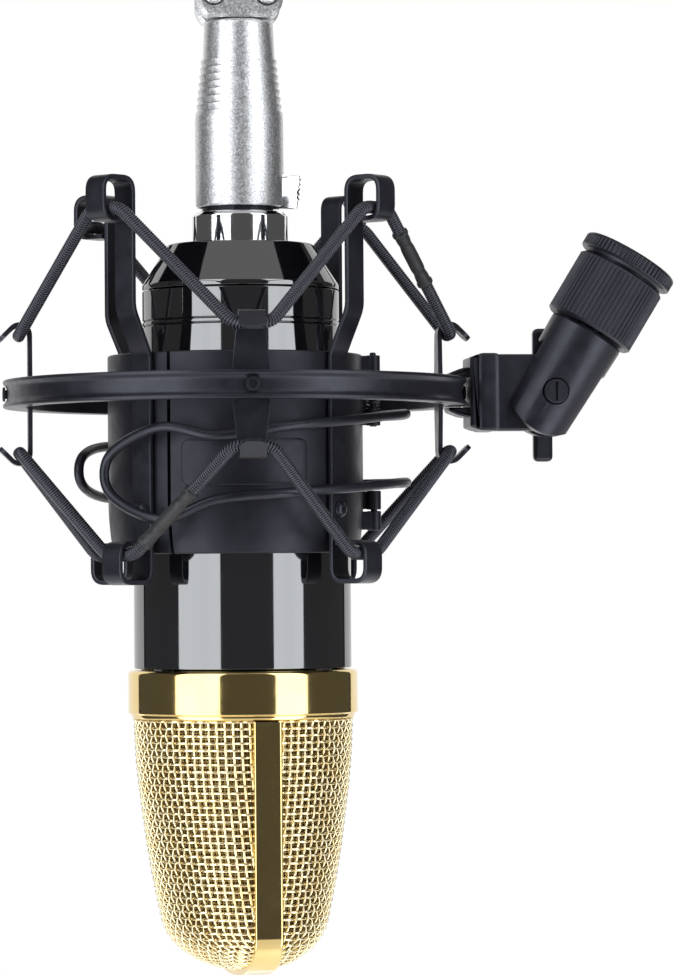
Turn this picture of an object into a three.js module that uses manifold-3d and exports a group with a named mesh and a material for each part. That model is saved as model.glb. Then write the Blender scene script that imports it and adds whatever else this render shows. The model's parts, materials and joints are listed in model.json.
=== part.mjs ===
// A side-address condenser microphone that hangs upside down in a spring clamp.
// The clamp's wire cage is slung on elastic cords inside a ring, and the ring tilts on a stand swivel.
// Millimetres, +Z up. Everything is laid out about the microphone's axis, and the whole group is
// moved at the end, so that the mouth of the stand thread is the origin.
// An azimuth of 0 is the front (-Y), 90 is the swivel's side (+X) and 180 is the back.

import * as THREE from 'three';
import { mergeVertices } from 'three/addons/utils/BufferGeometryUtils.js';
import Module from 'manifold-3d';

const wasm = await Module();
wasm.setup();

// ---- driving dimensions ----
const GAP = 0.3;

const TUBE_R = 21.9;
const TUBE_WALL = 1.2;
const TUBE_Z = [-18.5, 44.6];
const TAIL_R = 19.85;
const TAIL_WALL = 1.4;
const TAIL_Z = [40.0, 57.3];
const TAIL_GROOVES_Z = [50.2, 51.2];
const CONE_Z = [57.6, 66.8];
const CONE_TOP_R = 14.65;
const SOCKET_R = 9.7;
const SOCKET_BORE_R = 8.4;
const SOCKET_Z = [58.5, 73.3];
const PIN_R = 1.2;
const PIN_CIRCLE_R = 3.75;
const PIN_Z = [60.4, 72.2];

const MIC_TURN = 8;
const GRILLE_RING_R = 23.15;
const GRILLE_RING_Z = [-28.5, -18.8];
const GRILLE_TOP_Z = -28.8;
const GRILLE_WALL = 1.0;
const BAND_WIDTH = 5.8;
const BAND_RISE = 0.7;
const BAND_WALL = 1.9;

const PLUG_R = 8.9;
const PLUG_TOP_R = 6.85;
const PLUG_BORE_R = 7.95;
const PLUG_Z = [74.3, 112.0];
const PLUG_TAPER_Z = 92.0;
const PLUG_INSERT_R = 7.6;
const LATCH_X = [7.9, 12.2];
const LATCH_Z = [74.0, 80.9];
const LATCH_WIDTH = 5.2;

const MOUNT_X = -1.2;
const JAW_R = 25.7;
const JAW_FOOT_R = 24.9;
const JAW_BORE_R = 23.6;
const JAW_Z = [4.4, 44.4];
const JAW_FOOT_Z = 13.0;
const JAW_SPLIT_AZ = -35;
const HINGE = [26.8, 0];
const KNUCKLE_R = 1.45;
const HINGE_PIN_R = 0.65;
const FRONT_KNUCKLES = [[9.0, 12.9], [37.9, 44.4]];
const REAR_KNUCKLES = [[13.2, 17.0], [30.2, 33.7]];
const SPRING_Z = [33.9, 37.7];

const STRIP = 1.0;
const LEG_WIDTH = 5.0;
const LEG_AZ = { front_right: 45.5, rear_right: 135, rear_left: -131, front_left: -48 };
const LEG_R = JAW_R + GAP;
const LEG_TOP_R = 30.5;
const LEG_BEND_Z = [43.6, 52.7];
const UPPER_LOOP = { r: [30.5, 39.5], z: [69.6, 78.8] };
const LOWER_LOOP = { r: [26.0, 35.6], z: [-1.7, 6.9] };
const LOOP_CORNER = 3.2;
const RIVET_Z = 13.0;

const RING_R = 46.8;
const RING_WEB_R = 46.0;
const RING_BORE_R = 42.1;
const RING_Z = [34.0, 39.5];
const RING_MID_Z = (RING_Z[0] + RING_Z[1]) / 2;
const POST_AZ = { front: 0, right: 90, rear: 180, left: -90 };
const POST_R = 40.9;
const POST_STRIP = 0.9;
const POST_WIDTH = [7.4, 5.2];
const HOOK_RISE = 11.85;
const HOOK_BEND_R = 1.65;
const HOOK_TAB = 3.6;

const CORD_R = 1.3;
const SLEEVE_R = 1.65;
const HOOK_CORD_R = POST_R + POST_STRIP + HOOK_BEND_R;
const UPPER_CROWN = { r: 36.5, z: 72.25 };
const LOWER_CROWN = { r: 32.9, z: 4.2 };
const CROWN_HALF = 3.8;

const WIRE_R = 1.0;
const HANDLE_R = 30.6;

const PIVOT = [63.2, 0, RING_MID_Z];
const BARREL_LEAN = 31.3;
const BARREL_R = [7.1, 7.9];
const BARREL_TOP = 14.5;
const BARREL_ROUND = 8.9;
const TONGUE_HALF = 7.75;
const TONGUE_Y = 2.75;
const COLLAR_R = 9.4;
const COLLAR_S = [14.8, 28.4];
const ADAPTER_R = 10.1;
const ADAPTER_S = [20.2, 29.4, 32.4];
const THREAD_R = 4.4;

// ---- materials ----
function finish(color, roughness, metalness) {
  return new THREE.MeshStandardMaterial({ color, roughness, metalness });
}
const GLOSS_BLACK = finish(0x08080a, 0.08, 0.6);
const SATIN_BLACK = finish(0x1a1a1d, 0.5, 0.2);
const BLACK_PLASTIC = finish(0x1d1d20, 0.55, 0);
const BLACK_CORD = finish(0x121214, 0.85, 0);
const RUBBER = finish(0x101012, 0.9, 0);
const GOLD = finish(0xc9a04a, 0.15, 1);
const GOLD_MESH = finish(0xc8a45c, 0.3, 1);
const CHROME = finish(0xd8d8d8, 0.12, 1);
const SATIN_NICKEL = finish(0xc4c4c4, 0.35, 1);
const BRASS = finish(0xb89548, 0.3, 1);
const CIRCUIT_GREEN = finish(0x1f5a37, 0.6, 0);

// ---- tools ----
const radians = THREE.MathUtils.degToRad;

function toSolid(geometry) {
  const plain = geometry.clone();
  plain.deleteAttribute('normal');
  plain.deleteAttribute('uv');
  const merged = mergeVertices(plain, 1e-4);
  const corners = [];
  for (let i = 0; i < merged.index.count; i += 3) {
    const [a, b, c] = [0, 1, 2].map((k) => merged.index.getX(i + k));
    if (a !== b && b !== c && c !== a) corners.push(a, b, c);
  }
  return new wasm.Manifold(new wasm.Mesh({
    numProp: 3,
    vertProperties: new Float32Array(merged.attributes.position.array),
    triVerts: new Uint32Array(corners),
  }));
}

function toGeometry(solid) {
  const mesh = solid.getMesh();
  const geometry = new THREE.BufferGeometry();
  geometry.setAttribute('position', new THREE.BufferAttribute(new Float32Array(mesh.vertProperties), 3));
  geometry.setIndex(new THREE.BufferAttribute(new Uint32Array(mesh.triVerts), 1));
  geometry.computeVertexNormals();
  return geometry;
}

function join(...geometries) {
  return toGeometry(geometries.map(toSolid).reduce((a, b) => a.add(b)));
}

function cut(geometry, ...tools) {
  return toGeometry(tools.map(toSolid).reduce((a, b) => a.subtract(b), toSolid(geometry)));
}

function common(a, b) {
  return toGeometry(toSolid(a).intersect(toSolid(b)));
}

// Turned about +Z from [radius, height] pairs that run anticlockwise seen from the +Y side.
function turned(profile, sides = 40) {
  const points = profile.map(([r, z]) => new THREE.Vector2(r, z));
  return new THREE.LatheGeometry(points, sides).rotateX(Math.PI / 2);
}

function rod(radius, low, high, sides = 16) {
  return turned([[0, low], [radius, low], [radius, high], [0, high]], sides);
}

function pipe(outer, inner, low, high, sides = 40) {
  return turned([[inner, low], [outer, low], [outer, high], [inner, high], [inner, low]], sides);
}

function block(x, y, z) {
  const size = [x, y, z].map(([low, high]) => high - low);
  const middle = [x, y, z].map(([low, high]) => (low + high) / 2);
  return new THREE.BoxGeometry(...size).translate(...middle);
}

// A flat outline in the X-Z plane, given its thickness along Y about y = 0.
function plate(shape, thickness, curveSegments = 3) {
  const settings = { depth: thickness, bevelEnabled: false, curveSegments };
  const geometry = new THREE.ExtrudeGeometry(shape, settings);
  return geometry.translate(0, 0, -thickness / 2).rotateX(Math.PI / 2);
}

function tube(curve, radius, steps, sides) {
  const section = new THREE.Shape();
  for (let i = 0; i < sides; i += 1) {
    const turn = (2 * Math.PI * i) / sides;
    const point = [radius * Math.cos(turn), radius * Math.sin(turn)];
    if (i === 0) section.moveTo(...point);
    else section.lineTo(...point);
  }
  section.closePath();
  return new THREE.ExtrudeGeometry(section, { steps, extrudePath: curve, bevelEnabled: false });
}

function polygon(points) {
  return new THREE.Shape(points.map(([x, y]) => new THREE.Vector2(x, y)));
}

function at(azimuth, radius, z) {
  const a = radians(azimuth);
  return new THREE.Vector3(radius * Math.sin(a), -radius * Math.cos(a), z);
}

// Turns a piece that was made pointing along +X to an azimuth.
function face(geometry, azimuth) {
  return geometry.rotateZ(radians(azimuth - 90));
}

function piece(name, geometry, material, group) {
  const mesh = new THREE.Mesh(geometry, material);
  mesh.name = name;
  group.add(mesh);
}

// A path of straight runs between points, with its inner corners rounded by a given reach.
function roundedPath(points, reach) {
  const path = new THREE.CurvePath();
  let last = points[0];
  for (let i = 1; i < points.length - 1; i += 1) {
    const [before, corner, after] = [points[i - 1], points[i], points[i + 1]];
    const inTo = before.clone().sub(corner);
    const outOf = after.clone().sub(corner);
    const start = corner.clone().add(inTo.setLength(Math.min(reach, inTo.length() / 2)));
    const end = corner.clone().add(outOf.setLength(Math.min(reach, outOf.length() / 2)));
    path.add(new THREE.LineCurve3(last, start));
    path.add(new THREE.QuadraticBezierCurve3(start, corner, end));
    last = end;
  }
  path.add(new THREE.LineCurve3(last, points[points.length - 1]));
  return path;
}

// ---- microphone body ----
function addBody(group) {
  const inner = TUBE_R - TUBE_WALL;
  piece('body_tube', turned([
    [inner, TUBE_Z[0]], [TUBE_R, TUBE_Z[0]], [TUBE_R, TUBE_Z[1] - 1], [TUBE_R - 1, TUBE_Z[1]],
    [TAIL_R + GAP, TUBE_Z[1]], [TAIL_R + GAP, TUBE_Z[1] - 2], [inner, TUBE_Z[1] - 3],
    [inner, TUBE_Z[0]],
  ], 36), GLOSS_BLACK, group);
  piece('tail_sleeve', turned(tailProfile(), 30), GLOSS_BLACK, group);
  piece('tail_cone', turned([
    [SOCKET_R + GAP, CONE_Z[0]], [TAIL_R, CONE_Z[0]], [TAIL_R, CONE_Z[0] + 0.9],
    [CONE_TOP_R, CONE_Z[1]], [SOCKET_R + GAP, CONE_Z[1]], [SOCKET_R + GAP, CONE_Z[0]],
  ], 36), GLOSS_BLACK, group);
  const chamfer = 0.7;
  piece('socket_ring', turned([
    [SOCKET_BORE_R, SOCKET_Z[0]], [SOCKET_R, SOCKET_Z[0]], [SOCKET_R, SOCKET_Z[1] - chamfer],
    [SOCKET_R - chamfer, SOCKET_Z[1]], [SOCKET_BORE_R, SOCKET_Z[1]], [SOCKET_BORE_R, SOCKET_Z[0]],
  ], 32), CHROME, group);
}

function tailProfile() {
  const inner = TAIL_R - TAIL_WALL;
  const depth = 0.35;
  const half = 0.2;
  const outside = [[TAIL_R, TAIL_Z[0]]];
  for (const z of TAIL_GROOVES_Z) {
    outside.push([TAIL_R, z - half], [TAIL_R - depth, z], [TAIL_R, z + half]);
  }
  return [[inner, TAIL_Z[0]], ...outside, [TAIL_R, TAIL_Z[1]], [inner, TAIL_Z[1]], [inner, TAIL_Z[0]]];
}

function addSocketContacts(group) {
  const plateZ = [58.5, 62.5];
  const holes = [];
  for (let i = 0; i < 3; i += 1) {
    const spot = at(i * 90 - 90, PIN_CIRCLE_R, 0);
    holes.push(rod(PIN_R + GAP, plateZ[0] - 1, plateZ[1] + 1, 10).translate(spot.x, spot.y, 0));
    piece(`contact_pin_${i + 1}`, turned([
      [0, PIN_Z[0]], [PIN_R, PIN_Z[0]], [PIN_R, PIN_Z[1] - 0.6], [0.5, PIN_Z[1]], [0, PIN_Z[1]],
    ], 10).translate(spot.x, spot.y, 0), BRASS, group);
  }
  const disc = rod(SOCKET_BORE_R - GAP, ...plateZ, 28);
  piece('socket_insulator', cut(disc, ...holes), BLACK_PLASTIC, group);
}

// ---- grille ----
// Half widths across the wedge's two mesh faces, from the ring down to the rounded ridge.
const GRILLE_SIDE = [
  [-28.8, 22.2], [-38, 21.7], [-48, 20.5], [-58, 19.0], [-66, 17.4], [-71, 16.1],
  [-74.2, 14.0], [-77.0, 10.2], [-78.1, 7.7], [-78.9, 5.2], [-79.5, 0],
];
// Half depths towards the band, which falls straight and turns a short corner.
const GRILLE_DEPTH = [
  [-28.8, 22.2], [-71, 22.2], [-74.2, 21.0], [-77.0, 17.2], [-78.1, 13.6], [-78.9, 9.2], [-79.5, 3.5],
];

function interpolate(table, z) {
  for (let i = 1; i < table.length; i += 1) {
    const [[z0, v0], [z1, v1]] = [table[i - 1], table[i]];
    if (z >= z1) return v0 + ((v1 - v0) * (z - z0)) / (z1 - z0);
  }
  return table[table.length - 1][1];
}

// A closed wedge-shaped dome, swollen outward by a number of millimetres; it starts above the grille.
function grilleDome(swell, raise) {
  const around = 24;
  const positions = [];
  const faces = [];
  GRILLE_SIDE.forEach(([z, side], level) => {
    const depth = interpolate(GRILLE_DEPTH, z);
    const height = level === 0 ? z + raise : z;
    for (let i = 0; i < around; i += 1) {
      const turn = (2 * Math.PI * i) / around;
      const wide = side > 0 ? side + swell : 0;
      const x = wide * Math.cos(turn);
      const y = (depth + swell) * Math.sin(turn);
      positions.push(x, y, level > 4 ? height - swell : height);
    }
  });
  const levels = GRILLE_SIDE.length;
  for (let k = 0; k < levels - 1; k += 1) {
    for (let i = 0; i < around; i += 1) {
      const a = k * around + i;
      const b = k * around + ((i + 1) % around);
      faces.push(a, b + around, b, a, a + around, b + around);
    }
  }
  const top = positions.length / 3;
  positions.push(0, 0, GRILLE_SIDE[0][0] + raise);
  for (let i = 0; i < around; i += 1) faces.push(top, i, (i + 1) % around);
  const geometry = new THREE.BufferGeometry();
  geometry.setAttribute('position', new THREE.Float32BufferAttribute(positions, 3));
  geometry.setIndex(faces);
  return geometry;
}

function addGrille(group) {
  const head = new THREE.Group();
  head.rotation.z = radians(MIC_TURN);
  group.add(head);

  const [low, high] = GRILLE_RING_Z;
  const bore = TUBE_R - TUBE_WALL;
  piece('grille_ring', turned([
    [bore, low], [22.2, low], [22.2, low + 0.7], [GRILLE_RING_R, low + 0.8], [GRILLE_RING_R, high - 1],
    [GRILLE_RING_R - 1, high], [bore, high], [bore, low],
  ], 36), GOLD, head);

  const shell = toSolid(grilleDome(0, 0)).subtract(toSolid(grilleDome(-GRILLE_WALL, 5)));
  const half = BAND_WIDTH / 2;
  const reach = 40;
  const sides = { right: [half + GAP, reach], left: [-reach, -half - GAP] };
  for (const [name, x] of Object.entries(sides)) {
    const window = block(x, [-reach, reach], [-90, GRILLE_TOP_Z + 1]);
    piece(`grille_mesh_${name}`, toGeometry(shell.intersect(toSolid(window))), GOLD_MESH, head);
  }

  const outer = toSolid(grilleDome(BAND_RISE, 0));
  const strap = outer.subtract(toSolid(grilleDome(BAND_RISE - BAND_WALL, 5)));
  const strapWindow = block([-half, half], [-reach, reach], [-90, GRILLE_TOP_Z + 1]);
  piece('grille_band', toGeometry(strap.intersect(toSolid(strapWindow))), GOLD, head);
  addCapsule(head);
}

function addCapsule(head) {
  const capsuleZ = -50;
  const capsuleR = 12.5;
  const half = 4.5;
  const rim = 0.8;
  piece('capsule', turned([
    [0, -half], [capsuleR - 2, -half], [capsuleR - 2, -half - rim], [capsuleR, -half - rim],
    [capsuleR, half + rim], [capsuleR - 2, half + rim], [capsuleR - 2, half], [0, half],
  ], 20).rotateY(Math.PI / 2).translate(0, 0, capsuleZ), BRASS, head);

  const cradle = block([-6.5, 6.5], [-11, 11], [-46, -31.6]);
  const seat = rod(capsuleR + GAP, -10, 10, 20).rotateY(Math.PI / 2).translate(0, 0, capsuleZ);
  piece('capsule_saddle', cut(cradle, seat), RUBBER, head);
  const rails = [[-17.5, -16], [16, 17.5]].map((x) => block(x, [-4, 4], [-30, 54]));
  piece('chassis', join(rod(19.6, -31.3, -29.2, 28), ...rails), SATIN_NICKEL, head);
  piece('circuit_board', block([-14.5, 14.5], [-0.8, 0.8], [-20, 38]), CIRCUIT_GREEN, head);
}

// ---- cable plug ----
function addPlug(group) {
  const outside = [
    [PLUG_BORE_R, PLUG_Z[0]], [PLUG_R - 0.5, PLUG_Z[0]], [PLUG_R, PLUG_Z[0] + 0.5],
    [PLUG_R, PLUG_TAPER_Z], [PLUG_TOP_R, PLUG_Z[1]], [PLUG_TOP_R - 2.4, PLUG_Z[1]],
    [PLUG_TOP_R - 2.4, PLUG_Z[1] - 8], [PLUG_BORE_R, PLUG_TAPER_Z - 2], [PLUG_BORE_R, PLUG_Z[0]],
  ];
  const halfSlot = LATCH_WIDTH / 2 + GAP;
  const slot = block([6, 13], [-halfSlot, halfSlot], [PLUG_Z[0] - 1, LATCH_Z[1] + GAP]);
  const rest = cut(block([-8.2, 8.2], [1.2, 6.2], [PLUG_Z[1] - 0.4, 121]), cableBore());
  const shell = join(cut(turned(outside, 24), slot), cut(rest, ...clampHoles(1.3)));
  piece('plug_shell', shell, SATIN_NICKEL, group);

  const flat = block([6.3, 9], [-4, 4], [72, 83]);
  const sockets = [0, 1, 2].map((i) => {
    const spot = at(i * 90 - 90, PIN_CIRCLE_R, 0);
    return rod(PIN_R + GAP, 60, PIN_Z[1] + 1.5, 10).translate(spot.x, spot.y, 0);
  });
  piece('plug_insert', cut(rod(PLUG_INSERT_R, 63.2, 88, 28), flat, ...sockets), BLACK_PLASTIC, group);

  const saddle = block([-8.2, 8.2], [-6.2, -1.2], [PLUG_Z[1] + GAP, 121]);
  piece('cable_clamp', cut(saddle, cableBore(), ...clampHoles(1.6)), SATIN_NICKEL, group);
  for (const [name, side] of [['left', -1], ['right', 1]]) {
    const screw = turned([
      [0, -4.9], [1, -4.9], [1, 6.5], [2.05, 6.5], [2.05, 7.2], [1.2, 7.9], [0, 7.9],
    ], 12).rotateX(Math.PI / 2);
    piece(`clamp_screw_${name}`, screw.translate(5.4 * side, 0, 117), CHROME, group);
  }

  const half = LATCH_WIDTH / 2;
  piece('latch_tab', block(LATCH_X, [-half, half], LATCH_Z), CHROME, group);
}

function cableBore() {
  return rod(3.2, PLUG_Z[1] - 12, 125, 20);
}

function clampHoles(radius) {
  return [-5.4, 5.4].map((x) => rod(radius, -10, 10, 12).rotateX(Math.PI / 2).translate(x, 0, 117));
}

// ---- spring clamp ----
function sector(fromAz, toAz, low, high) {
  const reach = 60;
  const points = [[0, 0]];
  const count = Math.ceil((toAz - fromAz) / 20);
  for (let i = 0; i <= count; i += 1) {
    const spot = at(fromAz + ((toAz - fromAz) * i) / count, reach, 0);
    points.push([spot.x, spot.y]);
  }
  const settings = { depth: high - low, bevelEnabled: false };
  return new THREE.ExtrudeGeometry(polygon(points), settings).translate(0, 0, low);
}

function jawRing() {
  return turned([
    [JAW_BORE_R, JAW_Z[0]], [JAW_FOOT_R, JAW_Z[0]], [JAW_R, JAW_FOOT_Z], [JAW_R, JAW_Z[1]],
    [JAW_BORE_R, JAW_Z[1]], [JAW_BORE_R, JAW_Z[0]],
  ], 48);
}

// Knuckles stand on the swivel's side of one jaw; side is -1 for the front jaw and 1 for the rear.
function knuckles(levels, side) {
  const x = HINGE[0] - MOUNT_X;
  return levels.map(([low, high]) => {
    const web = side < 0 ? [-KNUCKLE_R, -GAP] : [GAP, KNUCKLE_R];
    return join(
      rod(KNUCKLE_R, low, high, 14).translate(x, 0, 0),
      block([JAW_R - 1.6, x], web, [low, high]),
    );
  });
}

// The upper knuckles turn on the hinge pin; the front jaw's lower knuckle ends in a stub that turns
// in the rear jaw's.
function jaw(fromAz, toAz, levels, side) {
  const x = HINGE[0] - MOUNT_X;
  const arc = common(jawRing(), sector(fromAz, toAz, 0, 50));
  const bore = rod(HINGE_PIN_R + GAP, side < 0 ? 20 : 0, 50, 10).translate(x, 0, 0);
  const rivets = Object.values(LEG_AZ).map((az) => rivetHole(az));
  const solids = [arc, ...knuckles(levels, side)];
  if (side < 0) solids.push(rod(HINGE_PIN_R, 10, 16.8, 10).translate(x, 0, 0));
  return cut(join(...solids), bore, ...rivets);
}

function rivetHole(azimuth) {
  return face(rod(0.9 + GAP, JAW_BORE_R - 3, JAW_R + 3, 8).rotateY(Math.PI / 2)
    .translate(0, 0, RIVET_Z), azimuth);
}

function pad(fromAz, toAz) {
  const outer = rod(JAW_BORE_R - GAP, JAW_Z[0] + 3, JAW_Z[1] - 3, 40);
  const core = rod(TUBE_R + GAP, 0, 50, 40).translate(-MOUNT_X, 0, 0);
  return cut(common(outer, sector(fromAz, toAz, 0, 50)), core);
}

function labelPlate() {
  const half = 28;
  const [low, high] = [17.8, 27.0];
  const round = pipe(JAW_R + GAP + 0.6, JAW_R + GAP, low, high, 48);
  const skin = common(round, sector(-half - 2, half, 0, 50));
  const corner = 2;
  const width = JAW_R * Math.sin(radians(half + 1));
  const outline = roundedBox([-width - 1, width], [low, high], corner);
  const window = plate(outline, 40).translate(0, -30, 0);
  return common(skin, window);
}

function roundedBox([x0, x1], [y0, y1], corner) {
  const shape = new THREE.Shape();
  shape.moveTo(x0 + corner, y0);
  shape.lineTo(x1 - corner, y0);
  shape.absarc(x1 - corner, y0 + corner, corner, -Math.PI / 2, 0);
  shape.lineTo(x1, y1 - corner);
  shape.absarc(x1 - corner, y1 - corner, corner, 0, Math.PI / 2);
  shape.lineTo(x0 + corner, y1);
  shape.absarc(x0 + corner, y1 - corner, corner, Math.PI / 2, Math.PI);
  shape.lineTo(x0, y0 + corner);
  shape.absarc(x0 + corner, y0 + corner, corner, Math.PI, 1.5 * Math.PI);
  return shape;
}

// How a wire ends beside the hinge, as azimuth, radius and share of its rise: the front handle crosses
// over to the far jaw, and the rear one stops behind the knuckles.
const CROSSING_END = [
  [126, JAW_R + WIRE_R + GAP + 0.25, 1], [112, 30.2, 1], [97, 34, 1], [84, 34.4, 1], [70, 32.6, 0.9],
  [45, HANDLE_R, 0.65], [15, HANDLE_R, 0.35],
];
const TUCKED_END = [
  [84, 27.5, 1], [72, 27.9, 1], [62, 28.6, 0.8], [45, HANDLE_R, 0.4], [15, HANDLE_R, 0.1],
];

// A squeeze handle: one wire that leaves the hinge, runs round the clamp, turns in a bulging finger
// loop and comes back. side is -1 in front. Each end rises or drops to its own height at the hinge.
function handle(side, { low, high, rises, end, loopAz, loopZ, tipAz }) {
  const point = (az, radius, z) => {
    const spot = at(az, radius, z);
    return new THREE.Vector3(spot.x, side < 0 ? spot.y : -spot.y, z);
  };
  const run = (z, rise) => [
    ...end.map(([az, radius, share]) => point(az, radius, z + rise * share)),
    point(-12, HANDLE_R, z),
  ];
  const points = [
    ...run(low, rises[0]),
    point(loopAz, HANDLE_R, loopZ[0]),
    point(tipAz - 3, HANDLE_R + 0.8, (loopZ[0] * 2 + loopZ[1]) / 3),
    point(tipAz - 3, HANDLE_R + 0.8, (loopZ[0] + loopZ[1] * 2) / 3),
    point(loopAz, HANDLE_R, loopZ[1]),
    ...run(high, rises[1]).reverse(),
  ];
  const curve = new THREE.CatmullRomCurve3(points, false, 'centripetal');
  return tube(curve, WIRE_R, 50, 5);
}

function jawSpring() {
  const [low, high] = SPRING_Z;
  const turns = 3;
  const points = [];
  const count = turns * 12;
  for (let i = 0; i <= count; i += 1) {
    const turn = (2 * Math.PI * turns * i) / count;
    const z = low + 0.5 + ((high - low - 1) * i) / count;
    points.push(new THREE.Vector3(1.25 * Math.cos(turn), 1.25 * Math.sin(turn), z));
  }
  const curve = new THREE.CatmullRomCurve3(points);
  return tube(curve, 0.28, count, 3).translate(HINGE[0] - MOUNT_X, 0, 0);
}

// ---- cage legs ----
function loop({ r, z }) {
  const shape = roundedBox(r, z, LOOP_CORNER);
  const inner = roundedBox(
    [r[0] + STRIP, r[1] - STRIP],
    [z[0] + STRIP, z[1] - STRIP],
    LOOP_CORNER - STRIP,
  );
  shape.holes.push(inner);
  return plate(shape, LEG_WIDTH);
}

function leg() {
  const foot = LOWER_LOOP.z[0] + LOOP_CORNER;
  const top = UPPER_LOOP.z[1] - LOOP_CORNER;
  const strip = plate(polygon([
    [LEG_R, foot], [LEG_R + STRIP, foot], [LEG_R + STRIP, LEG_BEND_Z[0] - 0.1],
    [LEG_TOP_R + STRIP, LEG_BEND_Z[1] - 0.1], [LEG_TOP_R + STRIP, top], [LEG_TOP_R, top],
    [LEG_TOP_R, LEG_BEND_Z[1]], [LEG_R, LEG_BEND_Z[0]],
  ]), LEG_WIDTH);
  const hole = rod(0.9 + GAP, LEG_R - 3, LEG_R + 5, 6).rotateY(Math.PI / 2).translate(0, 0, RIVET_Z);
  return cut(join(strip, loop(UPPER_LOOP), loop(LOWER_LOOP)), hole);
}

function rivet() {
  const [inside, outside] = [JAW_BORE_R - 0.15, LEG_R + STRIP + GAP];
  return turned([
    [0, inside], [0.9, inside], [0.9, outside], [1.6, outside], [1.3, outside + 0.6],
    [0.6, outside + 0.9], [0, outside + 0.9],
  ], 10).rotateY(Math.PI / 2).translate(0, 0, RIVET_Z);
}

function addClamp(group) {
  const backAz = 360 + JAW_SPLIT_AZ - 0.8;
  piece('front_jaw', jaw(JAW_SPLIT_AZ + 0.8, 88.6, FRONT_KNUCKLES, -1), BLACK_PLASTIC, group);
  piece('rear_jaw', jaw(91.4, backAz, REAR_KNUCKLES, 1), BLACK_PLASTIC, group);
  piece('front_jaw_pad', pad(JAW_SPLIT_AZ + 6, 30), RUBBER, group);
  piece('rear_jaw_pad', pad(190, backAz - 20), RUBBER, group);
  piece('label_plate', labelPlate(), BLACK_PLASTIC, group);
  const x = HINGE[0] - MOUNT_X;
  piece('hinge_pin', rod(HINGE_PIN_R, 30, 45, 16).translate(x, 0, 0), SATIN_BLACK, group);
  piece('jaw_spring', jawSpring(), SATIN_BLACK, group);
  const front = {
    low: 14.8, high: 27.4, rises: [3.8, 5.0], end: CROSSING_END, loopAz: -33, loopZ: [11.2, 29.2], tipAz: -55,
  };
  const rear = {
    low: 19.0, high: 23.6, rises: [-8.0, 17.4], end: TUCKED_END, loopAz: -50, loopZ: [16.0, 26.8], tipAz: -82,
  };
  piece('front_handle', handle(-1, front), SATIN_BLACK, group);
  piece('rear_handle', handle(1, rear), SATIN_BLACK, group);
  for (const [name, azimuth] of Object.entries(LEG_AZ)) {
    piece(`cage_leg_${name}`, face(leg(), azimuth), SATIN_BLACK, group);
    piece(`leg_rivet_${name}`, face(rivet(), azimuth), SATIN_NICKEL, group);
  }
}

// ---- ring, hooks and elastic cords ----
function ringBody() {
  const [low, high] = RING_Z;
  const profile = [
    [RING_BORE_R, low], [RING_R, low], [RING_R, low + 0.7], [RING_WEB_R, low + 1.5],
    [RING_WEB_R, high - 1.5], [RING_R, high - 0.7], [RING_R, high], [RING_BORE_R, high],
    [RING_BORE_R, low],
  ];
  const holes = Object.values(POST_AZ).map((az) => screwHole(az, 1.2));
  return cut(turned(profile, 52), ...holes);
}

function screwHole(azimuth, radius) {
  return face(rod(radius, POST_R - 4, RING_R + 4, 10).rotateY(Math.PI / 2)
    .translate(0, 0, RING_MID_Z), azimuth);
}

// One hooked end of a post, above the ring's middle: the strip rises, folds outward over the cord
// and ends in a tab that slants down and out.
function postOutline() {
  const shape = new THREE.Shape();
  const [bendR, bendZ] = [HOOK_CORD_R, HOOK_RISE];
  const outer = HOOK_BEND_R + POST_STRIP;
  const slant = Math.SQRT1_2;
  const tip = [bendR + slant * (outer + HOOK_TAB), bendZ + slant * (outer - HOOK_TAB)];
  const back = [bendR + slant * (HOOK_BEND_R + HOOK_TAB), bendZ + slant * (HOOK_BEND_R - HOOK_TAB)];
  shape.moveTo(POST_R, -0.2);
  shape.lineTo(POST_R + POST_STRIP, -0.2);
  shape.lineTo(POST_R + POST_STRIP, bendZ);
  shape.absarc(bendR, bendZ, HOOK_BEND_R, Math.PI, Math.PI / 4, true);
  shape.lineTo(...back);
  shape.lineTo(...tip);
  shape.absarc(bendR, bendZ, outer, Math.PI / 4, Math.PI, false);
  return shape;
}

function post() {
  const upper = toSolid(plate(postOutline(), 10, 4));
  const whole = upper.add(upper.mirror([0, 0, 1])).translate([0, 0, RING_MID_Z]);
  const [wide, narrow] = POST_WIDTH.map((w) => w / 2);
  const end = HOOK_RISE + 3;
  const taper = polygon([
    [-wide, -3], [-narrow, -end], [narrow, -end], [wide, -3],
    [wide, 3], [narrow, end], [-narrow, end], [-wide, 3],
  ]);
  const window = plate(taper, 20).rotateZ(Math.PI / 2).translate(POST_R + 3, 0, RING_MID_Z);
  const hole = rod(1.2, POST_R - 2, POST_R + 3, 10).rotateY(Math.PI / 2).translate(0, 0, RING_MID_Z);
  return toGeometry(whole.intersect(toSolid(window)).subtract(toSolid(hole)));
}

function ringScrew() {
  const [inside, outside] = [POST_R - GAP, RING_WEB_R + GAP];
  return turned([
    [0, inside - 0.7], [1.7, inside - 0.7], [1.7, inside], [0.9, inside], [0.9, outside],
    [1.4, outside], [1.4, outside + 0.45], [0, outside + 0.45],
  ], 10).rotateY(Math.PI / 2).translate(0, 0, RING_MID_Z);
}

// The cord's way through one hook or cage loop: a short straight run across it.
function crown(azimuth, radius, z) {
  const middle = at(azimuth, radius, z);
  const along = at(azimuth + 90, CROWN_HALF, 0);
  return [middle.clone().sub(along), middle.clone().add(along)];
}

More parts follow.
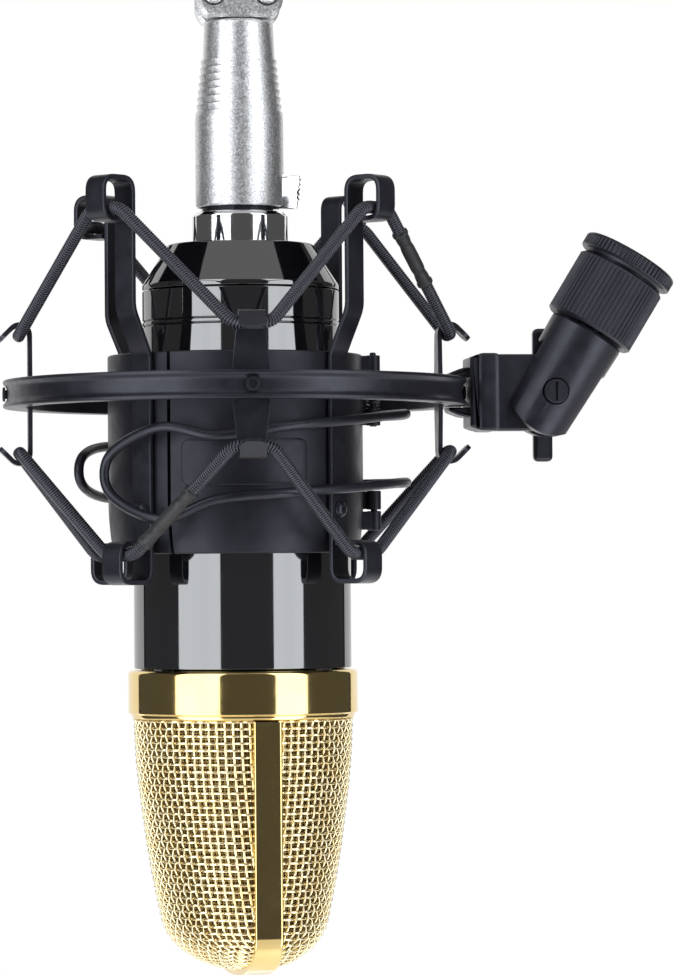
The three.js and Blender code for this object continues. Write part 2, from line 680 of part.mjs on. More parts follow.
// A cord that zigzags between the ring's hooks and the cage's loops, cut where its sleeve joins it.
// sleeve gives the share of the run from the first loop where the sleeve starts and ends.
function cordRoute(hookZ, crownAt, order) {
  const points = [];
  for (const stop of order) {
    const isPost = stop in POST_AZ;
    const radius = isPost ? HOOK_CORD_R : crownAt.r;
    const z = isPost ? hookZ : crownAt.z;
    const azimuth = isPost ? POST_AZ[stop] : LEG_AZ[stop];
    points.push(...crown(azimuth, radius, z));
  }
  return points;
}

function addCord(name, route, sleeve, group) {
  const first = route[0];
  const last = route[route.length - 1];
  const span = first.clone().sub(last);
  const from = last.clone().addScaledVector(span, sleeve[0]);
  const to = last.clone().addScaledVector(span, sleeve[1]);
  const gap = span.clone().setLength(GAP);
  const ends = [to.clone().add(gap), ...route, from.clone().sub(gap)];
  piece(`elastic_cord_${name}`, tube(roundedPath(ends, 2.2), CORD_R, 120, 5), BLACK_CORD, group);
  const body = new THREE.LineCurve3(from, to);
  piece(`cord_sleeve_${name}`, tube(body, SLEEVE_R, 1, 12), RUBBER, group);
}

function addRing(group) {
  piece('suspension_ring', ringBody(), SATIN_BLACK, group);
  for (const [name, azimuth] of Object.entries(POST_AZ)) {
    piece(`ring_post_${name}`, face(post(), azimuth), SATIN_BLACK, group);
    piece(`ring_screw_${name}`, face(ringScrew(), azimuth), SATIN_BLACK, group);
  }
  const upperOrder = ['right', 'rear_right', 'rear', 'rear_left', 'left', 'front_left', 'front', 'front_right'];
  const lowerOrder = ['front', 'front_right', 'right', 'rear_right', 'rear', 'rear_left', 'left', 'front_left'];
  const upper = cordRoute(RING_MID_Z + HOOK_RISE, UPPER_CROWN, upperOrder);
  const lower = cordRoute(RING_MID_Z - HOOK_RISE, LOWER_CROWN, lowerOrder);
  addCord('upper', upper, [0.18, 0.6], group);
  addCord('lower', lower, [0.1, 0.6], group);
}

// ---- stand swivel ----
function addBracket(group) {
  const [x, , z] = PIVOT;
  const blockX = [47.7, 51.8];
  const half = TONGUE_HALF;
  const tongue = new THREE.Shape();
  tongue.moveTo(blockX[1] - 1, z - half);
  tongue.lineTo(x, z - half);
  tongue.absarc(x, z, half, -Math.PI / 2, Math.PI / 2, false);
  tongue.lineTo(blockX[1] - 1, z + half);
  const bolt = rod(2.3, -10, 10, 20).rotateX(Math.PI / 2).translate(x, 0, z);
  const body = block(blockX, [-6.2, 6.2], [z - half - 0.1, z + half + 0.1]);
  const bracket = cut(join(body, plate(tongue, TONGUE_Y * 2, 12)), bolt);
  piece('swivel_bracket', bracket, SATIN_BLACK, group);

  const clip = [block([45.9, 47.4], [-6.2, 6.2], [z - 7.6, z + 7.6])];
  for (const side of [-1, 1]) {
    const level = [z + side * 3.05, z + side * 5.0].sort((a, b) => a - b);
    clip.push(block([41.7, 46.5], [-4.2, 4.2], level));
  }
  piece('bracket_clip', join(...clip), SATIN_BLACK, group);
}

function addSwivel(group) {
  const lean = new THREE.Group();
  lean.position.set(...PIVOT);
  lean.rotation.y = radians(BARREL_LEAN);
  group.add(lean);

  const blank = turned([
    [0, -BARREL_ROUND], [BARREL_R[0], -BARREL_ROUND], [BARREL_R[1], BARREL_TOP - 0.6],
    [BARREL_R[1] - 0.6, BARREL_TOP], [0, BARREL_TOP],
  ], 28);
  const rounding = join(
    rod(BARREL_ROUND, -12, 12, 28).rotateX(Math.PI / 2),
    block([-12, 12], [-12, 12], [0, BARREL_TOP + 2]),
  );
  const slotHalf = TONGUE_Y + GAP;
  const barrel = cut(
    common(blank, rounding),
    block([-12, 12], [-slotHalf, slotHalf], [-12, TONGUE_HALF + 0.35]),
    rod(2.3, -12, 12, 20).rotateX(Math.PI / 2),
    rod(2.8, 6.2, 12, 20).rotateX(Math.PI / 2),
    rod(3.3, TONGUE_HALF + 1.6, BARREL_TOP + 2, 20),
  );
  piece('swivel_barrel', barrel, SATIN_BLACK, lean);

  const bolt = turned([
    [0, -17], [2, -17], [2, 6.5], [2.45, 6.5], [2.45, 7.7], [2.1, 8.0], [0, 8.0],
  ], 20).rotateX(Math.PI / 2);
  const slot = block([-0.35, 0.35], [-9, -7.3], [-3, 3]);
  piece('pivot_bolt', cut(bolt, slot.rotateY(radians(-BARREL_LEAN))), SATIN_BLACK, lean);

  const hub = rod(4.2, 8.4, 14.5, 24).rotateX(-Math.PI / 2);
  const wings = block([-1.95, 1.95], [11, 14], [-13.7, 13.7]);
  const nutBore = rod(2.3, -20, 20, 20).rotateX(Math.PI / 2);
  const nut = cut(join(hub, wings), nutBore);
  piece('wing_nut', nut.rotateY(radians(-BARREL_LEAN)), SATIN_BLACK, lean);

  piece('swivel_screw', turned([
    [0, TONGUE_HALF + 1.9], [3, TONGUE_HALF + 1.9], [3, 17.6], [4.3, 17.6], [4.3, 19.4], [0, 19.4],
  ], 16), SATIN_NICKEL, lean);
  piece('swivel_collar', turned([
    [3.3, COLLAR_S[0]], [COLLAR_R - 0.5, COLLAR_S[0]], [COLLAR_R, COLLAR_S[0] + 0.5],
    [COLLAR_R, COLLAR_S[1] - 0.5], [COLLAR_R - 0.5, COLLAR_S[1]], [8.0, COLLAR_S[1]], [8.0, 17.3],
    [3.3, 17.3], [3.3, COLLAR_S[0]],
  ], 28), SATIN_BLACK, lean);
  const [shankLow, flangeLow, mouth] = ADAPTER_S;
  piece('thread_adapter', turned([
    [THREAD_R, shankLow], [7.7, shankLow], [7.7, flangeLow], [ADAPTER_R, flangeLow],
    [ADAPTER_R, mouth - 0.4], [ADAPTER_R - 0.4, mouth], [THREAD_R + 0.4, mouth],
    [THREAD_R, mouth - 0.4], [THREAD_R, shankLow],
  ], 28), SATIN_BLACK, lean);
}

// ---- assembly ----
const microphone = new THREE.Group();
addBody(microphone);
addSocketContacts(microphone);
addGrille(microphone);
addPlug(microphone);

const mount = new THREE.Group();
mount.position.x = MOUNT_X;
addClamp(mount);
addRing(mount);

const swivel = new THREE.Group();
addBracket(swivel);
addSwivel(swivel);

const part = new THREE.Group();
const lean = radians(BARREL_LEAN);
part.position.set(
  -PIVOT[0] - ADAPTER_S[2] * Math.sin(lean),
  0,
  -PIVOT[2] - ADAPTER_S[2] * Math.cos(lean),
);
part.add(microphone, mount, swivel);
part.updateMatrixWorld(true);

export default part;
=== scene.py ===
"""The looks of a condenser microphone that hangs upside down in a sprung clamp, built around its CAD frame.

Shapes are made in millimetres about the microphone's axis, with z = 0 at the horizon of the main view.
An azimuth of 0 is the front (-Y), 90 is the swivel's side (+X) and 180 is the back.
"""
import json
import math

import bmesh
import bpy
import numpy as np
from mathutils import Matrix, Vector


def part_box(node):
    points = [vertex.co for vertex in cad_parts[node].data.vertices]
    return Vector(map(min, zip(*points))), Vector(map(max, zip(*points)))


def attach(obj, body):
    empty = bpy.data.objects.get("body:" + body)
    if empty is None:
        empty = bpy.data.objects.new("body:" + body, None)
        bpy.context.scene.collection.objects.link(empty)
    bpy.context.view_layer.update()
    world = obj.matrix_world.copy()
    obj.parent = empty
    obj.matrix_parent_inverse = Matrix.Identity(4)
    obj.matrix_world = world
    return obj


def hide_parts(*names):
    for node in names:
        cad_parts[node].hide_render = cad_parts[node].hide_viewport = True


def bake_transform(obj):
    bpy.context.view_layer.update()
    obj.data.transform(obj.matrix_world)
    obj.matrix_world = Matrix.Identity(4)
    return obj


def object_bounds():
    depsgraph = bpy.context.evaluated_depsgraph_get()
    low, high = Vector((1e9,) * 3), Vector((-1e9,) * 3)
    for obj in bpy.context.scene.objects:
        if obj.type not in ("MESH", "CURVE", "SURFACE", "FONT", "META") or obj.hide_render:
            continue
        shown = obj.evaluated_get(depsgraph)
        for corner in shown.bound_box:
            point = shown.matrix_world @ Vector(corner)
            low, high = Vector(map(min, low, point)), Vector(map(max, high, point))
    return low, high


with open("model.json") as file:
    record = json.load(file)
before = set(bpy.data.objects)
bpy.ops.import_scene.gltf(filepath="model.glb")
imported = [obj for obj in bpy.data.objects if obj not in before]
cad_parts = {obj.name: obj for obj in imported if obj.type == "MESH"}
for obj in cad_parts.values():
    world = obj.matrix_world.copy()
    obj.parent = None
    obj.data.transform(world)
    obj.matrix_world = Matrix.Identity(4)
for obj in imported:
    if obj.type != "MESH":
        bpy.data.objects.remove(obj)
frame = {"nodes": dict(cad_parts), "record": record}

CAD_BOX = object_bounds()
MM = 0.001
RECORD = frame["record"]
JOINTS = {joint["name"]: joint for joint in RECORD["behaviour"]["joints"]}
SLOT_OF = {part["node"]: part["material_slot"] for part in RECORD["subparts"]}
BODY_OF = {node: body for body, nodes in RECORD["behaviour"]["bodies"].items() for node in nodes}


# ---- places and sizes read from the frame ----
def box_middle(node):
    low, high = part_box(node)
    return (Vector(low) + Vector(high)) / 2


TUBE_FOOT_Z = -18.5
ORIGIN = Vector((
    box_middle("body_tube").x,
    box_middle("body_tube").y,
    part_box("body_tube")[0][2] - TUBE_FOOT_Z * MM,
))


def levels(node):
    low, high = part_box(node)
    return (low[2] - ORIGIN.z) / MM, (high[2] - ORIGIN.z) / MM


def radius(node):
    low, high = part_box(node)
    return (high[1] - low[1]) / 2 / MM


TUBE_R = radius("body_tube")
TUBE_Z = levels("body_tube")
TAIL_R = radius("tail_sleeve")
TAIL_Z = levels("tail_sleeve")
CONE_Z = levels("tail_cone")
SOCKET_R = radius("socket_ring")
SOCKET_Z = levels("socket_ring")
GRILLE_RING_R = radius("grille_ring")
GRILLE_RING_Z = levels("grille_ring")
PLUG_R = radius("plug_shell")
PLUG_Z = levels("plug_shell")
RING_R = radius("suspension_ring")
RING_Z = levels("suspension_ring")
RING_MID_Z = sum(RING_Z) / 2
JAW_R = (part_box("rear_jaw")[1][1] - ORIGIN.y) / MM
JAW_Z = levels("rear_jaw")
MOUNT_X = (box_middle("suspension_ring").x - ORIGIN.x) / MM
PIVOT = (Vector(JOINTS["ring_tilt"]["pos_m"]) - ORIGIN) / MM
BARREL_AXIS = Vector(JOINTS["swivel_spin"]["axis"])
HINGE_X = (JOINTS["jaw_open"]["pos_m"][0] - ORIGIN.x) / MM - MOUNT_X

IN_MIC = Matrix.Identity(4)
IN_HEAD = Matrix.Rotation(math.radians(8), 4, "Z")
IN_MOUNT = Matrix.Translation((MOUNT_X, 0, 0))
IN_SWIVEL = Matrix.Translation(PIVOT)
IN_BARREL = IN_SWIVEL @ Vector((0, 0, 1)).rotation_difference(BARREL_AXIS).to_matrix().to_4x4()

# ---- sizes that the frame's boxes don't give ----
TAIL_GROOVES_Z = (50.2, 51.2)
CONE_TOP_R = 14.65
SOCKET_BORE_R = 8.4
GRILLE_SIDE = (
    (-28.8, 22.2), (-38, 21.7), (-48, 20.5), (-58, 19.0), (-66, 17.4), (-71, 16.1),
    (-74.2, 14.0), (-77.0, 10.2), (-78.1, 7.7), (-78.9, 5.2), (-79.5, 0),
)
GRILLE_DEPTH = (
    (-28.8, 22.2), (-50, 22.2), (-69, 22.2), (-71.5, 22.15), (-74.2, 21.0), (-77.0, 17.2), (-78.1, 13.6),
    (-78.9, 9.2), (-79.5, 3.5),
)
GRILLE_RIDGE = GRILLE_SIDE[-1][0]
BAND_WIDTH = 5.8
BAND_RISE = 0.7
BAND_WALL = 1.9
ROW_PITCH = 1.42
COLUMN_PITCH = 1.65
WIRE_R = 0.29
WEAVE_SWING = 0.26
GRILLE_BORE_R = 20.7
CHEEK_GIRTH = 72
LINER_INSET = 1.35
LINER_THICK = 0.3
LINER_R = 20
LINER_WIDEST = 22
LINER_PITCH = 0.62
GRIP_Z = (93.6, 104.2)
GRIP_PITCH = 1.5
PLUG_TOP = 112.0
PLUG_TOP_R = 6.85
PLUG_TAPER_Z = 92.0
PLUG_SCREW_X = 5.4
PLUG_SCREW_Z = 117
JAW_BORE_R = 23.6
SPLIT_AZ = -35
JAW_GAP = 0.8
KNUCKLE_R = 1.45
FRONT_KNUCKLES = ((9.0, 12.9), (37.9, 44.4))
REAR_KNUCKLES = ((13.2, 17.0), (30.2, 33.7))
LEG_AZ = {"front_right": 45.5, "rear_right": 135, "rear_left": -131, "front_left": -48}
POST_AZ = {"front": 0, "right": 90, "rear": 180, "left": -90}
STRIP = 1.0
LEG_WIDTH = 5.0
LEG_R = JAW_R + 0.3
LEG_BEND_Z = (43.6, 52.7)
UPPER_LOOP = {"r": (30.5, 39.5), "z": (69.6, 78.8)}
LOWER_LOOP = {"r": (26.0, 35.6), "z": (-1.7, 6.9)}
RIVET_Z = 13.0
RING_BORE_R = 42.1
POST_R = 40.9
POST_STRIP = 0.9
POST_WIDTH = (7.4, 5.2)
HOOK_RISE = 11.85
HOOK_BEND_R = 1.65
HOOK_TAB = 3.6
HOOK_CORD_R = POST_R + POST_STRIP + HOOK_BEND_R
CORD_R = 1.3
SLEEVE_R = 1.65
UPPER_CROWN = (36.5, 72.25)
LOWER_CROWN = (32.9, 4.2)
CROWN_HALF = 3.8
CORD_BEND = 2.2
CORD_STEP = 0.09
STITCH_PITCH = 0.54
UPPER_ORDER = ("right", "rear_right", "rear", "rear_left", "left", "front_left", "front", "front_right")
LOWER_ORDER = ("front", "front_right", "right", "rear_right", "rear", "rear_left", "left", "front_left")
HANDLE_R = 30.6
CROSSING_END = (
    (126, 27.25, 1), (112, 30.2, 1), (97, 34, 1), (84, 34.4, 1), (70, 32.6, 0.9), (45, HANDLE_R, 0.65),
    (15, HANDLE_R, 0.35),
)
TUCKED_END = ((86, 27.6, 1), (72, 27.9, 1), (62, 28.6, 0.8), (45, HANDLE_R, 0.4), (15, HANDLE_R, 0.1))
FRONT_HANDLE = {
    "low": 14.8, "high": 27.4, "rises": (3.8, 5.0), "end": CROSSING_END,
    "loop_az": -33, "loop_z": (11.2, 29.2), "tip_az": -55,
}
REAR_HANDLE = {
    "low": 19.0, "high": 23.6, "rises": (-8.0, 17.4), "end": TUCKED_END,
    "loop_az": -50, "loop_z": (16.0, 26.8), "tip_az": -82,
}
TONGUE_HALF = 7.75
TONGUE_Y = 2.75
BARREL_TOP = 14.5
BARREL_ROUND = 8.9
COLLAR_R = 9.4
COLLAR_S = (14.8, 28.4)
ADAPTER_R = 10.1
ADAPTER_S = (20.2, 29.4, 32.4)
COLLAR_FLUTES = 58
ADAPTER_FLUTES = 64
THREAD_PITCH = 0.8
THREAD_TURNS = 14
BOLT_BORE_R = 2.3
SWIVEL_SCREW_S = 17.6
FRONT = (0, -1, 0)
BACK = (0, 1, 0)
OUTWARD = (1, 0, 0)
CUT_SHARP = math.radians(35)
COOL_GLOSS = (0.84, 0.86, 1.0, 1.0)
COOL_LIGHT = (0.93, 0.96, 1.0)
CAMERA_AZ = math.radians(-4.4)
CAMERA_DISTANCE = 0.88
CAMERA_LENS = 161.0
AIM_RIGHT = math.radians(1.285)
AIM_UP = math.radians(1.15)
CAMERA_ROLL = math.radians(0.43)


# ---- shapes: a shape is (points in mm, faces) ----
def merged(*shapes):
    points, faces, start = [], [], 0
    for part_points, part_faces in shapes:
        points.append(np.asarray(part_points, float))
        faces += [tuple(i + start for i in face) for face in part_faces]
        start += len(part_points)
    return np.vstack(points), faces


def moved(shape, matrix):
    points, faces = shape
    turn = np.array(matrix)
    return np.asarray(points, float) @ turn[:3, :3].T + turn[:3, 3], faces


def spun(shape, azimuth):
    """A shape that was made pointing along +X, turned to an azimuth."""
    return moved(shape, Matrix.Rotation(math.radians(azimuth - 90), 4, "Z"))


def loft(rings, loop=False):
    """Quads between closed rings of points; loop joins the last ring to the first in place of end caps."""
    rings = np.asarray(rings, float)
    rows, around = rings.shape[:2]
    faces = []
    for i in range(rows if loop else rows - 1):
        a, b = i * around, (i + 1) % rows * around
        faces += [(a + j, a + (j + 1) % around, b + (j + 1) % around, b + j) for j in range(around)]
    if not loop:
        faces.append(tuple(reversed(range(around))))
        faces.append(tuple(range((rows - 1) * around, rows * around)))
    return rings.reshape(-1, 3), faces


def bend(start, corner, end, steps):
    """Points along a parabola that rounds off a corner."""
    share = np.linspace(0, 1, steps + 1)[:, None]
    return (1 - share) ** 2 * start + 2 * share * (1 - share) * corner + share**2 * end


def unit(vector):
    return vector / np.linalg.norm(vector)


def rounded(corners, reach=0.3, steps=3):
    """A closed outline whose corners are rounded; a corner may give its own reach as a third number."""
    outline = []
    count = len(corners)
    for i, corner in enumerate(corners):
        here = np.array(corner[:2], float)
        size = corner[2] if len(corner) > 2 else reach
        before = np.array(corners[i - 1][:2], float) - here
        after = np.array(corners[(i + 1) % count][:2], float) - here
        lengths = np.linalg.norm(before), np.linalg.norm(after)
        size = min(size, 0.45 * lengths[0], 0.45 * lengths[1])
        if size <= 0:
            outline.append(here)
            continue
        start = here + before / lengths[0] * size
        end = here + after / lengths[1] * size
        outline.extend(bend(start, here, end, steps))
    return np.array(outline)


def turned(profile, sides=96, span=(0, 360), ripple=None):
    """A closed [radius, height] profile turned about Z; ripple(angle, radius, height) adds to the radius."""
    profile = np.asarray(profile, float)
    full = span[1] - span[0] >= 360
    angles = np.radians(np.linspace(*span, sides + 1))
    if full:
        angles = angles[:-1]
    r = np.broadcast_to(profile[:, 0], (len(angles), len(profile)))
    z = np.broadcast_to(profile[:, 1], r.shape)
    a = angles[:, None]
    if ripple:
        r = r + ripple(a, r, z)
    rings = np.stack([r * np.sin(a), -r * np.cos(a), z], axis=-1)
    return loft(rings, loop=full)


def rod(size, low, high, sides=48):
    return turned([(0, low), (size, low), (size, high), (0, high)], sides)


def reach_along(path):
    """How far along a polyline each of its points is."""
    return np.concatenate([[0], np.cumsum(np.linalg.norm(np.diff(path, axis=0), axis=1))])


def upright(flat, y=0.0):
    """Flat points in X-Z, stood up at one depth."""
    return np.stack([flat[:, 0], np.full(len(flat), y), flat[:, 1]], axis=1)


def resampled(path, step, closed=False):
    """Points spaced evenly along a polyline."""
    path = np.asarray(path, float)
    if closed:
        path = np.vstack([path, path[:1]])
    reach = reach_along(path)
    count = max(2, int(round(reach[-1] / step)))
    wanted = np.linspace(0, reach[-1], count + 1)
    if closed:
        wanted = wanted[:-1]
    return np.stack([np.interp(wanted, reach, path[:, k]) for k in range(path.shape[1])], axis=1)


def spline(points, per_span=16):
    """A centripetal Catmull-Rom curve through all the points."""
    points = np.asarray(points, float)
    ends = [2 * points[0] - points[1], *points, 2 * points[-1] - points[-2]]
    curve = []
    for p0, p1, p2, p3 in zip(ends, ends[1:], ends[2:], ends[3:]):
        t1 = np.linalg.norm(p1 - p0) ** 0.5
        t2 = t1 + np.linalg.norm(p2 - p1) ** 0.5
        t3 = t2 + np.linalg.norm(p3 - p2) ** 0.5
        for t in np.linspace(t1, t2, per_span, endpoint=False):
            a1 = ((t1 - t) * p0 + t * p1) / t1
            a2 = ((t2 - t) * p1 + (t - t1) * p2) / (t2 - t1)
            a3 = ((t3 - t) * p2 + (t - t2) * p3) / (t3 - t2)
            b1 = ((t2 - t) * a1 + t * a2) / t2
            b2 = ((t3 - t) * a2 + (t - t1) * a3) / (t3 - t1)
            curve.append(((t2 - t) * b1 + (t - t1) * b2) / (t2 - t1))
    curve.append(points[-1])
    return np.array(curve)


def path_frames(path, side=None):
    """Unit sides and normals along a path; side fixes the side direction of a flat path."""
    tangents = np.gradient(path, axis=0)
    tangents /= np.linalg.norm(tangents, axis=1)[:, None]
    if side is not None:
        sides = np.broadcast_to(np.asarray(side, float), path.shape)
    else:
        first = np.cross(tangents[0], [0.0, 0.0, 1.0])
        if np.linalg.norm(first) < 1e-3:
            first = np.cross(tangents[0], [1.0, 0.0, 0.0])
        sides = [unit(first)]
        for tangent in tangents[1:]:
            sides.append(unit(sides[-1] - tangent * np.dot(sides[-1], tangent)))
        sides = np.array(sides)
    return sides, np.cross(sides, tangents)


def swept(path, section, side=None, widths=1.0):
    """A section of (side, normal) points carried along a path; widths scales its side direction."""
    sides, normals = path_frames(path, side)
    widths = np.broadcast_to(widths, (len(path),))[:, None, None]
    return loft(
        path[:, None, :]
        + sides[:, None, :] * section[None, :, :1] * widths
        + normals[:, None, :] * section[None, :, 1:]
    )


def circle(size, count):
    turn = np.linspace(0, 2 * math.pi, count, endpoint=False)
    return np.stack([size * np.cos(turn), size * np.sin(turn)], axis=1)


def tube(path, size, sides=16):
    """A round tube; size is one radius, or one for each ring, or one for each point of each ring."""
    across, normals = path_frames(path)
    sizes = np.asarray(size, float)
    if sizes.ndim == 1:
        sizes = sizes[:, None]
    ring = circle(1, sides)
    return loft(
        path[:, None, :]
        + across[:, None, :] * (ring[:, 0] * sizes)[..., None]
        + normals[:, None, :] * (ring[:, 1] * sizes)[..., None]
    )


def extruded(outline, low, high, edge=0.25):
    """A flat outline in X-Z given its thickness along Y, with its long edges chamfered."""
    outline = np.asarray(outline, float)
    inset = inward(outline, edge)
    layers = ((inset, low), (outline, low + edge), (outline, high - edge), (inset, high))
    return loft([upright(*layer) for layer in layers])


def inward(outline, size):
    """A closed outline moved inward by a small amount."""
    before = outline - np.roll(outline, 1, axis=0)
    after = np.roll(outline, -1, axis=0) - outline
    before /= np.maximum(np.linalg.norm(before, axis=1), 1e-9)[:, None]
    after /= np.maximum(np.linalg.norm(after, axis=1), 1e-9)[:, None]
    along = before + after
    along /= np.maximum(np.linalg.norm(along, axis=1), 1e-9)[:, None]
    normal = np.stack([-along[:, 1], along[:, 0]], axis=1)
    share = np.maximum((along * after).sum(axis=1), 0.4)
    x, z = outline[:, 0], outline[:, 1]
    area = (x * np.roll(z, -1) - np.roll(x, -1) * z).sum()
    return outline + normal * (math.copysign(size, area) / share)[:, None]


def block(x, y, z, edge=0.3, corner=0.3):
    """A box between limits along each axis, with soft edges."""
    outline = rounded([(x[0], z[0]), (x[1], z[0]), (x[1], z[1]), (x[0], z[1])], corner)
    return extruded(outline, *y, edge)


def recessed_head(size, height, recess, depth, dome=0.0):
    """A screw head along +Z on z = 0 with a recess; recess(angle) is the radius of its outline."""
    skirt, sides = 0.15, 48
    hole = np.array([recess(a) for a in np.linspace(0, 2 * math.pi, sides, endpoint=False)])

    def ring(sizes, z):
        flat = circle(1, sides) * np.broadcast_to(sizes, sides)[:, None]
        return np.column_stack([flat, np.broadcast_to(z, sides)])

    def crown(sizes):
        return height + dome * (1 - (np.asarray(sizes) / size) ** 2)

    middle = (hole + size - skirt) / 2
    return loft([
        ring(size, 0), ring(size, height - skirt), ring(size - skirt, crown(size - skirt)),
        ring(middle, crown(middle)), ring(hole, crown(hole)), ring(hole * 0.96, crown(hole) - 0.05),
        ring(hole * 0.9, height - depth),
    ])


def hex_recess(across):
    return lambda a: across / 2 / math.cos((a + math.pi / 6) % (math.pi / 3) - math.pi / 6)


def cross_recess(reach, half):
    def outline(a):
        turn = (a + math.pi / 4) % (math.pi / 2) - math.pi / 4
        return min(reach, half / max(abs(math.sin(turn)), 1e-6))
    return outline


def slot_recess(reach, half):
    """A slot along Y."""
    return lambda a: min(reach, half / max(abs(math.cos(a)), 1e-6))


def pointing(direction, spot=(0, 0, 0)):
    """The matrix that puts a shape made along +Z onto a spot, pointing along a direction."""
    turn = Vector((0, 0, 1)).rotation_difference(Vector(direction))
    return Matrix.Translation(spot) @ turn.to_matrix().to_4x4()


def at(azimuth, size, z):
    a = math.radians(azimuth)
    return np.array([size * math.sin(a), -size * math.cos(a), z])


# ---- materials ----
class Finish:
    """A Principled material under construction."""

    def __init__(self, name, color, metallic, roughness):
        self.material = bpy.data.materials.new(name)
        self.material.use_nodes = True
        self.nodes = self.material.node_tree.nodes
        self.links = self.material.node_tree.links
        self.shader = self.nodes["Principled BSDF"]
        self.set("Base Color", (*color, 1))
        self.set("Metallic", metallic)
        self.set("Roughness", roughness)
        self.where = self.nodes.new("ShaderNodeTexCoord").outputs["Object"]

    def set(self, socket, value):
        self.shader.inputs[socket].default_value = value

    def cool_gloss(self, ior):
        self.set("IOR", ior)
        self.set("Specular Tint", COOL_GLOSS)

    def noise(self, scale, detail):
        """A noise value from places in the frame; scale is in cycles per metre."""
        texture = self.nodes.new("ShaderNodeTexNoise")
        texture.inputs["Scale"].default_value = scale
        texture.inputs["Detail"].default_value = detail
        self.links.new(self.where, texture.inputs["Vector"])
        return texture.outputs["Fac"]

    def spread(self, value, low, high, start=0.3, stop=0.7):
        """A 0-to-1 value mapped onto a range."""
        node = self.nodes.new("ShaderNodeMapRange")
        for socket, number in zip(("From Min", "From Max", "To Min", "To Max"), (start, stop, low, high)):
            node.inputs[socket].default_value = number
        self.links.new(value, node.inputs["Value"])
        return node.outputs["Result"]

    def math(self, operation, *values):
        node = self.nodes.new("ShaderNodeMath")
        node.operation = operation
        for value, socket in zip(values, node.inputs):
            self.links.new(value, socket)
        return node

    def vary_roughness(self, value, low, high):
        self.links.new(self.spread(value, low, high), self.shader.inputs["Roughness"])
        return self

    def vary_color(self, value, dark, light):
        node = self.nodes.new("ShaderNodeMix")
        node.data_type = "RGBA"
        node.inputs["A"].default_value = (*dark, 1)
        node.inputs["B"].default_value = (*light, 1)
        self.links.new(self.spread(value, 0, 1), node.inputs["Factor"])
        self.links.new(node.outputs["Result"], self.shader.inputs["Base Color"])
        return self

    def bump(self, value, strength, distance):
        node = self.nodes.new("ShaderNodeBump")
        node.inputs["Strength"].default_value = strength
        node.inputs["Distance"].default_value = distance
        self.links.new(value, node.inputs["Height"])
        self.links.new(node.outputs["Normal"], self.shader.inputs["Normal"])
        return self


def surface(name, color, metallic, roughness, tones=None, gloss=None, grain=None):
    """A finish that varies over the frame; tones, gloss and grain start with a noise scale and detail."""
    finish = Finish(name, color, metallic, roughness)
    for vary, values in ((finish.vary_color, tones), (finish.vary_roughness, gloss), (finish.bump, grain)):
        if values:
            vary(finish.noise(*values[:2]), *values[2:])
    return finish


def elastic():
    """Braided cord, lighter where its ribs stand up: painted highlight on the raised ribs and painted shade
    in the grooves between them.
    """
    finish = surface(
        "black braided elastic", (0.006, 0.006, 0.008), 0.0, 0.36,
        gloss=(2500, 2, 0.28, 0.44), grain=(7000, 2, 0.3, 0.00004),
    )
    # The point attribute holds how far the braid stands up at each point, and it drives the painted highlight
    # and the painted shade.
    stitch_sheen = finish.nodes.new("ShaderNodeAttribute")
    stitch_sheen.attribute_name = "stitch_lift_and_sheen"
    # Near black is painted shade in the grooves; the lighter grey is painted highlight on the raised ribs.
    return finish.vary_color(stitch_sheen.outputs["Fac"], (0.001, 0.001, 0.0015), (0.05, 0.05, 0.06))


def gold_liner():
    """The fine inner cloth: a small weave drawn along the sheet's own rows and columns."""
    finish = Finish("fine gold cloth", (0.40, 0.26, 0.09), 1.0, 0.45)
    rows = finish.nodes.new("ShaderNodeUVMap")
    split = finish.nodes.new("ShaderNodeSeparateXYZ")
    finish.links.new(rows.outputs["UV"], split.inputs["Vector"])
    waves = []
    for axis in ("X", "Y"):
        turn = finish.math("MULTIPLY", split.outputs[axis])
        turn.inputs[1].default_value = 2 * math.pi
        waves.append(finish.math("COSINE", turn.outputs["Value"]).outputs["Value"])
    weave = finish.math("MAXIMUM", *waves)
    height = finish.spread(weave.outputs["Value"], 0, 1, start=-0.9, stop=0.6)
    finish.vary_color(height, (0.012, 0.008, 0.003), (0.42, 0.30, 0.12))
    return finish.bump(height, 0.8, 0.0002).material


